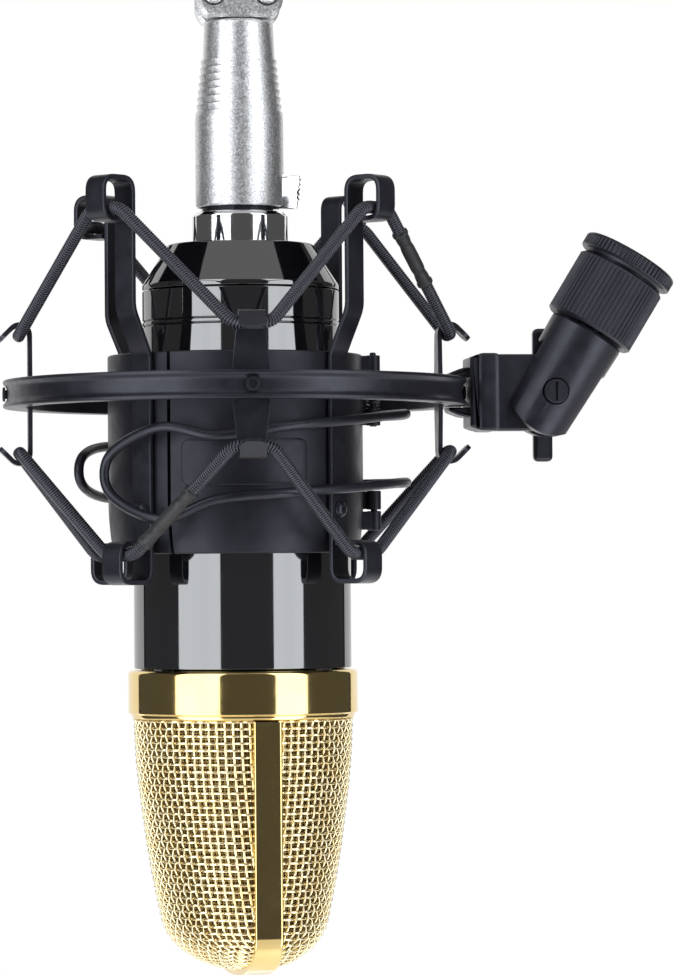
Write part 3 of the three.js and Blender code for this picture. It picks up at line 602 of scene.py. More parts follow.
DARK_TONES = ((0.004, 0.004, 0.006), (0.008, 0.008, 0.011))
SURFACES = {
    "gloss_black": surface(
        "gloss black lacquer", (0.003, 0.003, 0.004), 0.0, 0.05, gloss=(90, 6, 0.03, 0.07)),
    "satin_black": surface(
        "satin black powder coat", (0.005, 0.005, 0.008), 0.0, 0.34, tones=(120, 5, *DARK_TONES),
        gloss=(400, 3, 0.30, 0.42), grain=(4500, 3, 0.2, 0.00005)),
    "black_plastic": surface(
        "black moulded plastic", (0.004, 0.004, 0.006), 0.0, 0.38, tones=(70, 4, *DARK_TONES),
        gloss=(300, 3, 0.34, 0.46), grain=(6000, 2, 0.15, 0.00003)),
    "elastic": elastic(),
    "rubber": surface("black rubber", (0.010, 0.010, 0.011), 0.0, 0.55, gloss=(500, 3, 0.45, 0.65)),
    "gold": surface(
        "polished gold plate", (0.83, 0.62, 0.26), 1.0, 0.1,
        tones=(60, 3, (0.80, 0.58, 0.22), (0.86, 0.67, 0.31)), gloss=(350, 5, 0.07, 0.11)),
    "gold_mesh": surface(
        "gold plated wire", (0.97, 0.83, 0.52), 1.0, 0.25,
        tones=(250, 4, (0.95, 0.77, 0.42), (1.0, 0.90, 0.62)), gloss=(2500, 3, 0.18, 0.32)),
    "chrome": surface("chrome", (0.80, 0.80, 0.81), 1.0, 0.08, gloss=(300, 5, 0.04, 0.12)),
    "satin_nickel": surface(
        "satin cast nickel", (0.90, 0.90, 0.91), 1.0, 0.38,
        tones=(3000, 2, (0.45, 0.45, 0.46), (1.0, 1.0, 1.0)), gloss=(1800, 4, 0.32, 0.48),
        grain=(1500, 2, 0.4, 0.00003)),
    "contact_brass": surface("contact brass", (0.70, 0.53, 0.25), 1.0, 0.25, gloss=(900, 3, 0.18, 0.35)),
    "circuit_green": surface(
        "solder mask green", (0.02, 0.12, 0.05), 0.0, 0.35,
        tones=(500, 2, (0.015, 0.09, 0.04), (0.03, 0.15, 0.07))),
}
SURFACES["gloss_black"].set("IOR", 2.5)
for dark_slot, ior in (("satin_black", 1.5), ("black_plastic", 1.4), ("elastic", 1.5)):
    SURFACES[dark_slot].cool_gloss(ior)
FINISHES = {slot: finish.material for slot, finish in SURFACES.items()}


# ---- pieces ----
def keep_flats(obj):
    """Weighs the shading normals by face size, so that flat faces next to rounded edges stay flat."""
    weigh = obj.modifiers.new("flat faces", "WEIGHTED_NORMAL")
    weigh.keep_sharp = True
    weigh.weight = 60


def add_mesh(name, shape, material, bevel=0.0, sharp=40, flats=True):
    points, faces = shape
    mesh = bpy.data.meshes.new(name)
    mesh.from_pydata((np.asarray(points) * MM + np.array(ORIGIN)).tolist(), [], faces)
    work = bmesh.new()
    work.from_mesh(mesh)
    bmesh.ops.remove_doubles(work, verts=work.verts, dist=2e-6)
    bmesh.ops.dissolve_degenerate(work, dist=1e-7, edges=work.edges)
    bmesh.ops.recalc_face_normals(work, faces=work.faces)
    work.to_mesh(mesh)
    work.free()
    mesh.materials.append(material)
    mesh.shade_smooth()
    mesh.set_sharp_from_angle(angle=math.radians(sharp))
    obj = bpy.data.objects.new(name, mesh)
    bpy.context.scene.collection.objects.link(obj)
    if bevel:
        rounding = obj.modifiers.new("soft edges", "BEVEL")
        rounding.width = bevel * MM
        rounding.segments = 2
        rounding.limit_method = "ANGLE"
        rounding.angle_limit = math.radians(sharp)
    if flats:
        keep_flats(obj)
    return obj


def stand_in(node, shape, where=IN_MIC, bevel=0.0, sharp=40, flats=True, slot=None):
    """A fine piece in place of a CAD node, in the node's own finish unless slot names another."""
    slot = slot or SLOT_OF[node]
    obj = add_mesh("fine_" + node, moved(shape, where), FINISHES[slot], bevel, sharp, flats)
    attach(obj, BODY_OF[node])
    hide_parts(node)
    return obj


def finish_cad_nodes():
    for node, obj in frame["nodes"].items():
        for slot in obj.material_slots:
            slot.material = FINISHES[SLOT_OF[node]]


def carve(obj, tool, operation="DIFFERENCE"):
    """Cuts a shape out of a piece for good, or keeps only what is inside it."""
    cutter = add_mesh("cutter", tool, obj.data.materials[0])
    cut = obj.modifiers.new("cut", "BOOLEAN")
    cut.operation = operation
    cut.solver = "EXACT"
    cut.object = cutter
    graph = bpy.context.evaluated_depsgraph_get()
    mesh = bpy.data.meshes.new_from_object(obj.evaluated_get(graph))
    obj.modifiers.clear()
    obj.data = mesh
    mesh.shade_smooth()
    mesh.set_sharp_from_angle(angle=CUT_SHARP)
    bpy.data.objects.remove(cutter)


def join_pieces(name, *parts):
    """One object from several meshes that are all in the frame."""
    work = bmesh.new()
    for part in parts:
        work.from_mesh(part.data)
    mesh = bpy.data.meshes.new(name)
    work.to_mesh(mesh)
    work.free()
    mesh.materials.append(parts[0].data.materials[0])
    mesh.set_sharp_from_angle(angle=CUT_SHARP)
    for part in parts:
        bpy.data.objects.remove(part)
    obj = bpy.data.objects.new(name, mesh)
    bpy.context.scene.collection.objects.link(obj)
    return obj


def claim(obj, node):
    """Makes a finished object stand for a CAD node."""
    keep_flats(obj)
    obj.name = "fine_" + node
    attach(obj, BODY_OF[node])
    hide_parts(node)


# ---- microphone body ----
def add_body():
    wall = 1.2
    bore = TUBE_R - wall
    low, high = TUBE_Z
    stand_in("body_tube", turned(rounded([
        (bore, low), (TUBE_R, low, 0.2), (TUBE_R, high - 1, 0.4), (TUBE_R - 1, high, 0.4),
        (TAIL_R + 0.3, high, 0.1), (TAIL_R + 0.3, high - 2), (bore, high - 3),
    ], 0.1), 192))

    low, high = TAIL_Z
    bore = TAIL_R - 1.4
    outside = [(TAIL_R, low)]
    for z in TAIL_GROOVES_Z:
        outside += [(TAIL_R, z - 0.22, 0.06), (TAIL_R - 0.35, z, 0.06), (TAIL_R, z + 0.22, 0.06)]
    outside.append((TAIL_R, high, 0.15))
    stand_in("tail_sleeve", turned(rounded([(bore, low), *outside, (bore, high)], 0.1), 192))

    low, high = CONE_Z
    stand_in("tail_cone", turned(rounded([
        (SOCKET_R + 0.3, low), (TAIL_R, low, 0.15), (TAIL_R, low + 0.9, 0.25), (CONE_TOP_R, high, 0.4),
        (SOCKET_R + 0.3, high, 0.1),
    ], 0.1, 4), 192))

    low, high = SOCKET_Z
    stand_in("socket_ring", turned(rounded([
        (SOCKET_BORE_R, low), (SOCKET_R, low), (SOCKET_R, high - 0.8, 0.3), (SOCKET_R - 0.8, high, 0.3),
        (SOCKET_BORE_R, high, 0.15),
    ], 0.1, 4), 128))


# ---- grille ----
def grille_rows(step, inset):
    """Heights and half widths down the middle of a cheek, spaced evenly, and the half depth at each."""
    side = resampled(spline(GRILLE_SIDE), step)
    depth = spline(GRILLE_DEPTH)[::-1]
    depths = np.interp(side[:, 0], depth[:, 0], depth[:, 1])
    low, top = GRILLE_RIDGE + inset, GRILLE_SIDE[0][0]
    heights = low + (side[:, 0] - GRILLE_RIDGE) * (top - low) / (top - GRILLE_RIDGE)
    return heights, side[:, 1] - inset, depths - inset


def cheek_grid(inset, tuck):
    """Points on one cheek, half a pitch apart, with NaN where a column has left the cheek."""
    heights, widths, depths = grille_rows(ROW_PITCH / 2, inset)
    columns = int(CHEEK_GIRTH / COLUMN_PITCH)
    offsets = np.arange(-columns, columns + 1) * COLUMN_PITCH / 2
    grid = np.full((len(heights), len(offsets), 3), np.nan)
    rims = []
    for k, (z, wide, deep) in enumerate(zip(heights, widths, depths)):
        if wide <= tuck * 1.05:
            break
        last = math.acos(tuck / wide)
        turn = np.linspace(-last, last, 721)
        x, y = wide * np.cos(turn), deep * np.sin(turn)
        along = np.concatenate([[0], np.cumsum(np.hypot(np.diff(x), np.diff(y)))])
        along -= along[-1] / 2
        inside = np.abs(offsets) <= along[-1]
        grid[k, inside, 0] = np.interp(offsets[inside], along, x)
        grid[k, inside, 1] = np.interp(offsets[inside], along, y)
        grid[k, inside, 2] = z
        rims.append(((x[0], y[0], z), (x[-1], y[-1], z)))
    return grid[:len(rims)], np.array(rims)


def cheek_normals(grid):
    """Outward unit normals of a grid that may hold NaN."""
    across = np.full_like(grid, np.nan)
    down = np.full_like(grid, np.nan)
    across[:, 1:-1] = grid[:, 2:] - grid[:, :-2]
    down[1:-1] = grid[2:] - grid[:-2]
    down[0], down[-1] = grid[1] - grid[0], grid[-1] - grid[-2]
    normals = np.cross(down, across)
    normals /= np.linalg.norm(normals, axis=2)[..., None]
    radial = grid.copy()
    radial[..., 2] = 0
    radial /= np.linalg.norm(radial, axis=2)[..., None]
    normals = np.where(np.isnan(normals), radial, normals)
    facing = np.sign((normals * radial).sum(axis=2))
    return normals * np.where(facing == 0, 1, facing)[..., None]


def wires_of(grid, normals, swing, rims=None):
    """Wires along the rows of a half-pitch grid, swinging in and out at each crossing."""
    shapes = []
    section = circle(WIRE_R, 6)
    for k in range(0, grid.shape[0], 2):
        here = ~np.isnan(grid[k, :, 0])
        if here.sum() < 4:
            continue
        spots = np.nonzero(here)[0]
        spots = np.arange(spots[0], spots[-1] + 1)
        spots = spots[~np.isnan(grid[k, spots, 0])]
        phase = np.cos(np.pi * spots / 2) * (-1) ** (k // 2)
        path = grid[k, spots] + normals[k, spots] * (swing * phase)[:, None]
        if rims is not None:
            path = np.vstack([rims[k, 0], path, rims[k, 1]])
        shapes.append(swept(path, section))
    return shapes


def woven_cheek():
    grid, rims = cheek_grid(WIRE_R + WEAVE_SWING, BAND_WIDTH / 2 - 0.6)
    normals = cheek_normals(grid)
    rows = wires_of(grid, normals, WEAVE_SWING, rims)
    columns = wires_of(grid.transpose(1, 0, 2), normals.transpose(1, 0, 2), -WEAVE_SWING)
    return merged(*rows, *columns)


def liner_sheet():
    """The fine inner cloth of both cheeks as one thin closed dome, open at the top."""
    heights, widths, depths = grille_rows(1.2, LINER_INSET)
    flat = circle(1, 120)
    rings = []
    for z, wide, deep in zip(heights, np.maximum(widths, 0.02), depths):
        rings.append(np.column_stack([flat * [wide, deep], np.full(len(flat), z)]))
    shrink = 1 - LINER_THICK / LINER_WIDEST
    inner = [ring * [shrink, shrink, 1] + [0, 0, LINER_THICK * (i > 4)] for i, ring in enumerate(rings)]
    return loft(rings + inner[::-1], loop=True)


def add_liner():
    """The inner cloth is a piece that the CAD model leaves out."""
    cloth = moved(liner_sheet(), IN_HEAD)
    obj = add_mesh("grille_liner", cloth, gold_liner())
    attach(obj, BODY_OF["grille_band"])
    uv = obj.data.uv_layers.new(name="weave")
    centre = np.array(ORIGIN)
    for loop in obj.data.loops:
        x, y, z = (np.array(obj.data.vertices[loop.vertex_index].co) - centre) / MM
        uv.data[loop.index].uv = (math.atan2(y, x) * LINER_R / LINER_PITCH, z / LINER_PITCH)


def add_band():
    """The polished strap that runs down the front, under the ridge and up the back."""
    side = spline(GRILLE_DEPTH)
    front = np.stack([np.zeros(len(side)), -side[:, 1], side[:, 0]], axis=1)
    back = front[::-1] * [1, -1, 1]
    path = resampled(np.vstack([front, back]), 0.8)
    half = BAND_WIDTH / 2
    section = rounded([
        (-half, BAND_RISE - BAND_WALL), (half, BAND_RISE - BAND_WALL), (half, BAND_RISE, 0.6),
        (-half, BAND_RISE, 0.6),
    ], 0.1, 6)
    stand_in("grille_band", swept(path, section, side=(-1, 0, 0)), IN_HEAD)


def add_grille():
    low, high = GRILLE_RING_Z
    size = GRILLE_RING_R
    stand_in("grille_ring", turned(rounded([
        (GRILLE_BORE_R, low), (size - 0.75, low, 0.3), (size - 0.6, low + 0.5, 0.2),
        (size - 0.6, low + 0.85, 0.1), (size, low + 1.0, 0.25), (size, high, 1.3), (GRILLE_BORE_R, high),
    ], 0.1, 8), 192), IN_HEAD)
    cheek = woven_cheek()
    stand_in("grille_mesh_right", cheek, IN_HEAD, sharp=80, flats=False)
    stand_in("grille_mesh_left", cheek, IN_HEAD @ Matrix.Rotation(math.pi, 4, "Z"), sharp=80, flats=False)
    add_liner()
    add_band()


# ---- cable plug ----
def grip_ripple(angle, r, z):
    """Seven thumb grooves on two opposite pads of the plug, turned a little from the latch."""
    centre = math.radians(106)
    offset = np.abs((angle - centre + math.pi / 2) % math.pi - math.pi / 2)
    pad = np.clip((math.radians(50) - offset) / math.radians(22), 0, 1)
    inside = (z > GRIP_Z[0]) & (z < GRIP_Z[1]) & (r > 6)
    share = ((z - GRIP_Z[0]) / GRIP_PITCH) % 1
    groove = 0.4 * np.clip(1 - share * 1.25, 0, 1)
    return np.where(inside, -pad * groove, 0)


def plug_profile():
    low, top, size = PLUG_Z[0], PLUG_TOP, PLUG_TOP_R
    narrowing = (PLUG_R - size) / (top - PLUG_TAPER_Z)
    outside = [(PLUG_R - 0.4, low), (PLUG_R, low + 0.4)]
    for z in [PLUG_TAPER_Z, *np.arange(GRIP_Z[0] - 0.1, GRIP_Z[1] + 0.1, GRIP_PITCH / 10)]:
        outside.append((PLUG_R - narrowing * (z - PLUG_TAPER_Z), z))
    outside += [(size + 0.1, top - 0.9), (size - 0.1, top - 0.3), (size - 0.6, top)]
    bore = [(4.45, top), (4.45, top - 8), (7.95, PLUG_TAPER_Z - 2), (7.95, low)]
    return outside + bore


def lobed_outline(low):
    """The clamp's face: two lobes round the screws with a waist at the top between them."""
    high, half = PLUG_Z[1], 8.6
    return rounded([
        (-half + 1.5, low, 1.2), (half - 1.5, low, 1.2), (half, low + 2.6, 2.4), (half, high - 0.6, 3.0),
        (half - 3.4, high, 2.0), (2.4, high, 1.0), (0, high - 1.2, 1.5), (-2.4, high, 1.0),
        (-half + 3.4, high, 2.0), (-half, high - 0.6, 3.0), (-half, low + 2.6, 2.4),
    ], 1, 5)


def add_plug():
    nickel = FINISHES["satin_nickel"]
    bore = rod(3.2, 100, 125)
    body = add_mesh("plug_cast", turned(plug_profile(), 180, ripple=grip_ripple), nickel)
    carve(body, block((6, 13), (-2.9, 2.9), (70, 81.2), 0.2, 0.4))
    cast = add_mesh("plug_rest", extruded(lobed_outline(PLUG_TOP - 0.5), 1.2, 6.2, 0.7), nickel)
    carve(cast, bore)
    claim(join_pieces("fine_plug_shell", body, cast), "plug_shell")

    screws = {"left": -PLUG_SCREW_X, "right": PLUG_SCREW_X}
    clamp = add_mesh("cable_clamp", extruded(lobed_outline(PLUG_TOP + 0.3), -6.2, -1.2, 0.7), nickel)
    carve(clamp, bore)
    for x in screws.values():
        carve(clamp, moved(rod(2.5, 0, 3), pointing(FRONT, (x, -5.5, PLUG_SCREW_Z))))
    claim(clamp, "cable_clamp")

    head = recessed_head(2.05, 0.7, cross_recess(1.3, 0.26), 0.8, dome=0.75)
    screw = merged(head, rod(1, -10, 0.05, 16))
    for name, x in screws.items():
        stand_in("clamp_screw_" + name, screw, pointing(FRONT, (x, -5.6, PLUG_SCREW_Z)))
    add_latch()


def add_latch():
    low, high = levels("latch_tab")
    reach = (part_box("latch_tab")[1][0] - ORIGIN.x) / MM
    ridges = []
    for i in range(5):
        z = low + 1.6 + i
        root = reach - 0.5 + 0.09 * i
        ridges += [(root, z), (root + 0.35, z + 0.35), (root, z + 0.7)]
    outline = rounded([
        (7.9, low), (reach - 0.7, low, 0.3), *ridges, (reach, high - 0.3, 0.2), (reach - 0.3, high, 0.2),
        (7.9, high - 0.6),
    ], 0.06, 2)
    points, faces = extruded(outline, -2.6, 2.6, 0.35)
    points[:, 1] *= np.interp(points[:, 0], [8.5, reach], [1, 0.55])
    stand_in("latch_tab", (points, faces))


# ---- spring clamp ----
def jaw_profile():
    low, high = JAW_Z
    return rounded([
        (JAW_BORE_R, low), (24.5, low, 0.5), (25.2, low + 3, 2), (JAW_R, low + 8.6, 3), (JAW_R, high, 0.5),
        (JAW_BORE_R, high),
    ], 0.3, 4)


def knuckle(low, high, side):
    web = (-KNUCKLE_R, -0.35) if side < 0 else (0.35, KNUCKLE_R)
    barrel = turned(rounded([(0.8, low), (KNUCKLE_R, low), (KNUCKLE_R, high), (0.8, high)], 0.2), 32)
    return merged(
        moved(barrel, Matrix.Translation((HINGE_X, 0, 0))),
        block((JAW_R - 1.6, HINGE_X - 0.4), web, (low + 0.1, high - 0.1), 0.2, 0.3),
    )


def jaw(span, knuckle_levels, side):
    arc = turned(jaw_profile(), int((span[1] - span[0]) / 2), span)
    return merged(arc, *(knuckle(*level, side) for level in knuckle_levels))


def curved_plate(half, low, high, corner, inner, outer):
    """A plate with rounded corners, bent round the clamp; half is its half width in degrees."""
    wide = math.radians(half) * outer
    outline = rounded([(-wide, low), (wide, low), (wide, high), (-wide, high)], corner, 8)
    middle = np.array([0, (low + high) / 2])

    def ring(flat, size):
        turn = flat[:, 0] / outer
        return np.stack([size * np.sin(turn), -size * np.cos(turn), flat[:, 1]], axis=1)

    dense = resampled(outline, 0.7, closed=True)
    inset = inward(dense, 0.2)
    rings = [ring(middle + (dense - middle) * share, inner) for share in np.linspace(0.02, 1, 12)]
    rings.append(ring(dense, outer - 0.15))
    rings += [ring(middle + (inset - middle) * share, outer) for share in np.linspace(1, 0.02, 12)]
    return loft(rings)


def handle(side, low, high, rises, end, loop_az, loop_z, tip_az):
    """A squeeze handle bent from one wire; side is -1 for the front one and 1 for the rear one."""
    tips = [(2 * loop_z[0] + loop_z[1]) / 3, (loop_z[0] + 2 * loop_z[1]) / 3]
    run = (*end, (-12, HANDLE_R, 0))
    points = [at(az, r, low + rises[0] * share) for az, r, share in run]
    points += [
        at(loop_az, HANDLE_R, loop_z[0]), at(tip_az - 3, HANDLE_R + 0.8, tips[0]),
        at(tip_az - 3, HANDLE_R + 0.8, tips[1]), at(loop_az, HANDLE_R, loop_z[1]),
    ]
    points += [at(az, r, high + rises[1] * share) for az, r, share in reversed(run)]
    path = resampled(spline(points), 0.7) * [1, -side, 1]
    return tube(path, end_rounding(path, 1.0), 14)


def end_rounding(path, size):
    """Radii along a path that round off both of its ends."""
    reach = reach_along(path)
    share = np.clip(np.minimum(reach, reach[-1] - reach) / size, 0.05, 1)
    return size * np.sqrt(1 - (1 - share) ** 2)


def leg_path():
    """The middle line of a leg's strip, from the end of its lower loop to the end of its upper one."""
    half = STRIP / 2
    inner, outer = LOWER_LOOP["r"][0] + half, LOWER_LOOP["r"][1] - half
    low, high = LOWER_LOOP["z"][0] + half, LOWER_LOOP["z"][1] - half
    top_inner, top_outer = UPPER_LOOP["r"][0] + half, UPPER_LOOP["r"][1] - half
    top_low, top_high = UPPER_LOOP["z"][0] + half, UPPER_LOOP["z"][1] - half
    corner = 2.7
    corners = [
        (inner + 1.15, high, 0), (outer, high, corner), (outer, low, corner), (inner, low, corner),
        (inner, LEG_BEND_Z[0], 1.5), (top_inner, LEG_BEND_Z[1], 1.5), (top_inner, top_high, corner),
        (top_outer, top_high, corner), (top_outer, top_low, corner), (top_inner + 1.15, top_low, 0),
    ]
    return upright(rounded_line(corners))


def rounded_line(corners):
    """An open line with rounded corners, each with its own reach."""
    spots = [np.array(corner[:2], float) for corner in corners]
    line = [spots[0]]
    for before, here, after, corner in zip(spots, spots[1:], spots[2:], corners[1:]):
        start = here + unit(before - here) * corner[2]
        line.extend(bend(start, here, here + unit(after - here) * corner[2], 7))
    line.append(spots[-1])
    return np.array(line)


def strip_section(width, thick, edge=0.22):
    half, rise = width / 2, thick / 2
    return rounded([(-half, -rise), (half, -rise), (half, rise), (-half, rise)], edge, 2)


def add_legs():
    strip = swept(leg_path(), strip_section(LEG_WIDTH, STRIP), side=BACK)
    rivet = moved(turned([
        (0, -2.6), (0.9, -2.6), (0.9, 0), (1.55, 0), (1.6, 0.2), (1.45, 0.5), (1.1, 0.85), (0.75, 0.95),
        (0.6, 0.75), (0.3, 0.7), (0, 0.7),
    ], 32), pointing(OUTWARD, (LEG_R + STRIP, 0, RIVET_Z)))
    for name, azimuth in LEG_AZ.items():
        stand_in("cage_leg_" + name, spun(strip, azimuth), IN_MOUNT)
        stand_in("leg_rivet_" + name, spun(rivet, azimuth), IN_MOUNT, slot="satin_black")


def coil(size, wire, low, high, turns):
    angle = np.linspace(0, 2 * math.pi * turns, turns * 24)
    heights = np.linspace(low, high, len(angle))
    path = np.stack([size * np.cos(angle), size * np.sin(angle), heights], axis=1)
    return tube(path, wire, 10)


def add_clamp():
    back = 360 + SPLIT_AZ - JAW_GAP
    at_hinge = Matrix.Translation((HINGE_X, 0, 0))
    pin_r = radius("hinge_pin")
    stub = moved(rod(pin_r, 10, 16.8, 24), at_hinge)
    front = merged(jaw((SPLIT_AZ + JAW_GAP, 88.6), FRONT_KNUCKLES, -1), stub)
    stand_in("front_jaw", front, IN_MOUNT, bevel=0.25)
    stand_in("rear_jaw", jaw((91.4, back), REAR_KNUCKLES, 1), IN_MOUNT, bevel=0.25)
    plate = curved_plate(28.5, *levels("label_plate"), 2, JAW_R + 0.1, JAW_R + 0.45)
    stand_in("label_plate", plate, IN_MOUNT)
    stand_in("front_handle", handle(-1, **FRONT_HANDLE), IN_MOUNT)
    stand_in("rear_handle", handle(1, **REAR_HANDLE), IN_MOUNT)
    low, high = levels("hinge_pin")
    pin = turned([(0, low), (pin_r, low), (pin_r, high - 0.2), (pin_r - 0.2, high), (0, high)], 24)
    stand_in("hinge_pin", moved(pin, at_hinge), IN_MOUNT)
    low, high = levels("jaw_spring")
    spring = coil(1.2, 0.25, low + 0.25, high - 0.25, 4)
    stand_in("jaw_spring", moved(spring, at_hinge), IN_MOUNT)
    add_legs()


# ---- ring and hooks ----
def add_ring():
    low, high = RING_Z
    bore = RING_BORE_R
    stand_in("suspension_ring", turned(rounded([
        (bore, low, 0.3), (RING_R - 0.1, low, 0.25), (RING_R, low + 0.6, 0.25),
        (RING_R - 0.75, low + 1.35, 0.5), (RING_R - 0.95, RING_MID_Z, 1.2),
        (RING_R - 0.75, high - 1.35, 0.5), (RING_R, high - 0.6, 0.25), (RING_R - 0.1, high, 0.25),
        (bore, high, 0.3),
    ], 0.3, 4), 288), IN_MOUNT)

    post = hook_strip()
    head = recessed_head(1.45, 0.5, hex_recess(1.5), 0.42, dome=0.1)
    shank = turned([
        (0, -5.6), (1.6, -5.6), (1.75, -5.2), (1.75, -4.95), (0.9, -4.9), (0.9, 0.05), (0, 0.05),
    ], 32)
    screw = moved(merged(head, shank), pointing(OUTWARD, (RING_R - 0.5, 0, RING_MID_Z)))
    for name, azimuth in POST_AZ.items():
        stand_in("ring_post_" + name, spun(post, azimuth), IN_MOUNT)
        stand_in("ring_screw_" + name, spun(screw, azimuth), IN_MOUNT)


def hook_strip():
    """A post: a strip whose two ends fold outward over the cord and slant down to a rounded tab."""
    half = POST_STRIP / 2
    fold = HOOK_BEND_R + half
    arc = []
    for turn in np.radians(np.linspace(180, 45, 10)):
        arc.append((HOOK_CORD_R + fold * math.cos(turn), HOOK_RISE + fold * math.sin(turn)))
    slant = math.sqrt(0.5) * HOOK_TAB
    tip = (arc[-1][0] + slant, arc[-1][1] - slant)
    upper = resampled([(POST_R + half, 0), *arc, tip], 0.35)
    line = np.vstack([upper[::-1] * [1, -1], upper[1:]])
    widths = np.interp(np.abs(line[:, 1]), [3, HOOK_RISE + 1], POST_WIDTH)
    reach = reach_along(line)
    corner = 1.9
    past = np.clip(1 - np.minimum(reach, reach[-1] - reach) / corner, 0, 0.98)
    widths = widths - 2 * corner * (1 - np.sqrt(1 - past**2))
    section = strip_section(1, POST_STRIP, 0.02)
    return swept(upright(line + [0, RING_MID_Z]), section, side=BACK, widths=widths)


# ---- elastic cords ----
def cord_line(hook_z, crown, order, sleeve):
    """The cord's path between its sleeve's ends, and the two ends of the sleeve."""
    corners = []
    for stop in order:
        azimuth = POST_AZ[stop] if stop in POST_AZ else LEG_AZ[stop]
        middle = at(azimuth, *((HOOK_CORD_R, hook_z) if stop in POST_AZ else crown))
        along = at(azimuth + 90, CROWN_HALF, 0)
        corners += [middle - along, middle + along]
    span = corners[0] - corners[-1]
    start, end = corners[-1] + span * sleeve[0], corners[-1] + span * sleeve[1]
    tuck = unit(span) * 1.5
    route = [end - tuck, *corners, start + tuck]
    line = [route[0]]
    for before, here, after in zip(route, route[1:], route[2:]):
        ways = before - here, after - here
        first, last = (here + unit(way) * min(CORD_BEND, np.linalg.norm(way) / 2) for way in ways)
        line.extend(bend(first, here, last, 8))
    line.append(route[-1])
    return np.array(line), start, end


def braided(path, size):
    """A round cord covered in short slanted ribs of braid, and how far each of its points stands up, which
    the elastic's finish turns into painted highlight and painted shade.
    """
    sides = 24
    path = resampled(path, CORD_STEP)
    turn = np.linspace(0, 2 * math.pi, sides, endpoint=False)
    along = (np.arange(len(path)) * CORD_STEP)[:, None]
    slant = np.abs((turn * 2 / math.pi + 0.5) % 2 - 1)
    stitch_lift_and_sheen = 0.5 + 0.5 * np.cos(2 * math.pi * (along / STITCH_PITCH + 0.7 * slant))
    seam = np.exp(-((slant - np.round(slant)) / 0.16) ** 2)
    return tube(path, size - 0.2 * (1 - stitch_lift_and_sheen) - 0.05 * seam, sides), stitch_lift_and_sheen.ravel() ** 3


def crimped_sleeve(start, end, size):
    """A smooth sleeve with a rolled end at each side and two crimps near them."""
    length = np.linalg.norm(end - start)
    along = np.linspace(0, 1, 90)
    path = start + (end - start) * along[:, None]
    away = np.minimum(along, 1 - along) * length
    sizes = size - 0.22 + 0.22 * (away < 0.9) - 0.16 * np.exp(-((away - 3.4) / 0.8) ** 2)
    sizes *= np.sqrt(1 - (1 - np.clip(away / 0.35, 0.35, 1)) ** 2)
    return tube(path, sizes, 24)


def add_cords():
    cords = (
        ("upper", HOOK_RISE, UPPER_CROWN, UPPER_ORDER, (0.18, 0.6)),
        ("lower", -HOOK_RISE, LOWER_CROWN, LOWER_ORDER, (0.1, 0.6)),
    )
    for name, rise, crown, order, sleeve in cords:
        hook_z = RING_MID_Z + rise
        line, start, end = cord_line(hook_z, crown, order, sleeve)
        cord, stitch_sheen = braided(line, CORD_R)
        made = {"elastic_cord_": cord, "cord_sleeve_": crimped_sleeve(start, end, SLEEVE_R)}
        for prefix, shape in made.items():
            node = prefix + name
            material = FINISHES[SLOT_OF[node]]
            obj = add_mesh("fine_" + node, moved(shape, IN_MOUNT), material, sharp=80, flats=False)
            # The braid's rise is kept as a point attribute for the elastic's painted highlight on the ribs
            # and painted shade in the grooves.
            if shape is cord:
                heights = np.zeros(len(obj.data.vertices))
                heights[:len(stitch_sheen)] = stitch_sheen
                obj.data.attributes.new("stitch_lift_and_sheen", "FLOAT", "POINT").data.foreach_set("value", heights)
            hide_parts(node)
            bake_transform(obj)


# ---- stand swivel ----
def add_bracket():
    mid, half = PIVOT.z, TONGUE_HALF
    face, root, end = (47.7, 51.8), PIVOT.x - 3.5, 6.6
    satin = FINISHES["satin_black"]
    arc = [(PIVOT.x + end * math.sin(a), mid - end * math.cos(a)) for a in np.linspace(0, math.pi, 33)]
    outline = [
        (face[1] - 0.5, mid - half), (root, mid - half), *arc, (root, mid + half),
        (face[1] - 0.5, mid + half),
    ]
    tongue = add_mesh("tongue", extruded(outline, -TONGUE_Y, TONGUE_Y, 0.45), satin)
    carve(tongue, moved(rod(BOLT_BORE_R, -10, 10), pointing(BACK, PIVOT)))
    body = add_mesh("block", bowed_block(face, (-6.2, 6.2), (mid - half - 0.1, mid + half + 0.1)), satin)
    claim(join_pieces("bracket", tongue, body), "swivel_bracket")

    plate = extruded(rounded([
        (45.9, mid - 7.0, 0.3), (47.6, mid - 7.6, 0.1), (47.6, mid + 7.6, 0.1), (45.9, mid + 7.0, 0.3),
    ], 0.3, 3), -6.2, 6.2, 0.5)
    arms = []
    for side in (-1, 1):
        outline = rounded([
            (41.7, mid + side * 3.1, 0.2), (46.5, mid + side * 3.05, 0.1), (46.5, mid + side * 5.0, 0.1),
            (44.6, mid + side * 4.95, 1.2), (41.9, mid + side * 3.9, 0.4),
        ], 0.2, 4)
        arms.append(extruded(outline, -4.2, 4.2, 0.3))
    stand_in("bracket_clip", merged(plate, *arms))


def bowed_block(x, y, z):
    """A block along X whose ends are a little smaller than its middle."""
    rings = []
    for share in np.linspace(0, 1, 13):
        pinch = 0.3 * (2 * share - 1) ** 6
        half = (y[1] - y[0]) / 2 - pinch
        low, high = z[0] + pinch, z[1] - pinch
        flat = rounded([(-half, low), (half, low), (half, high), (-half, high)], 0.7, 4)
        rings.append(np.column_stack([np.full(len(flat), x[0] + (x[1] - x[0]) * share), flat]))
    return loft(rings)


def knurled(profile, count, depth, low, high):
    """A turned profile with rounded grooves along its outermost face between two heights."""
    size = np.max(np.array(profile)[:, 0])

    def ripple(angle, r, z):
        wave = 0.5 - 0.5 * np.cos(count * angle)
        inside = (z > low) & (z < high) & (r > size - 0.3)
        return np.where(inside, -depth * wave**2.2, 0)
    return turned(profile, count * 8, ripple=ripple)


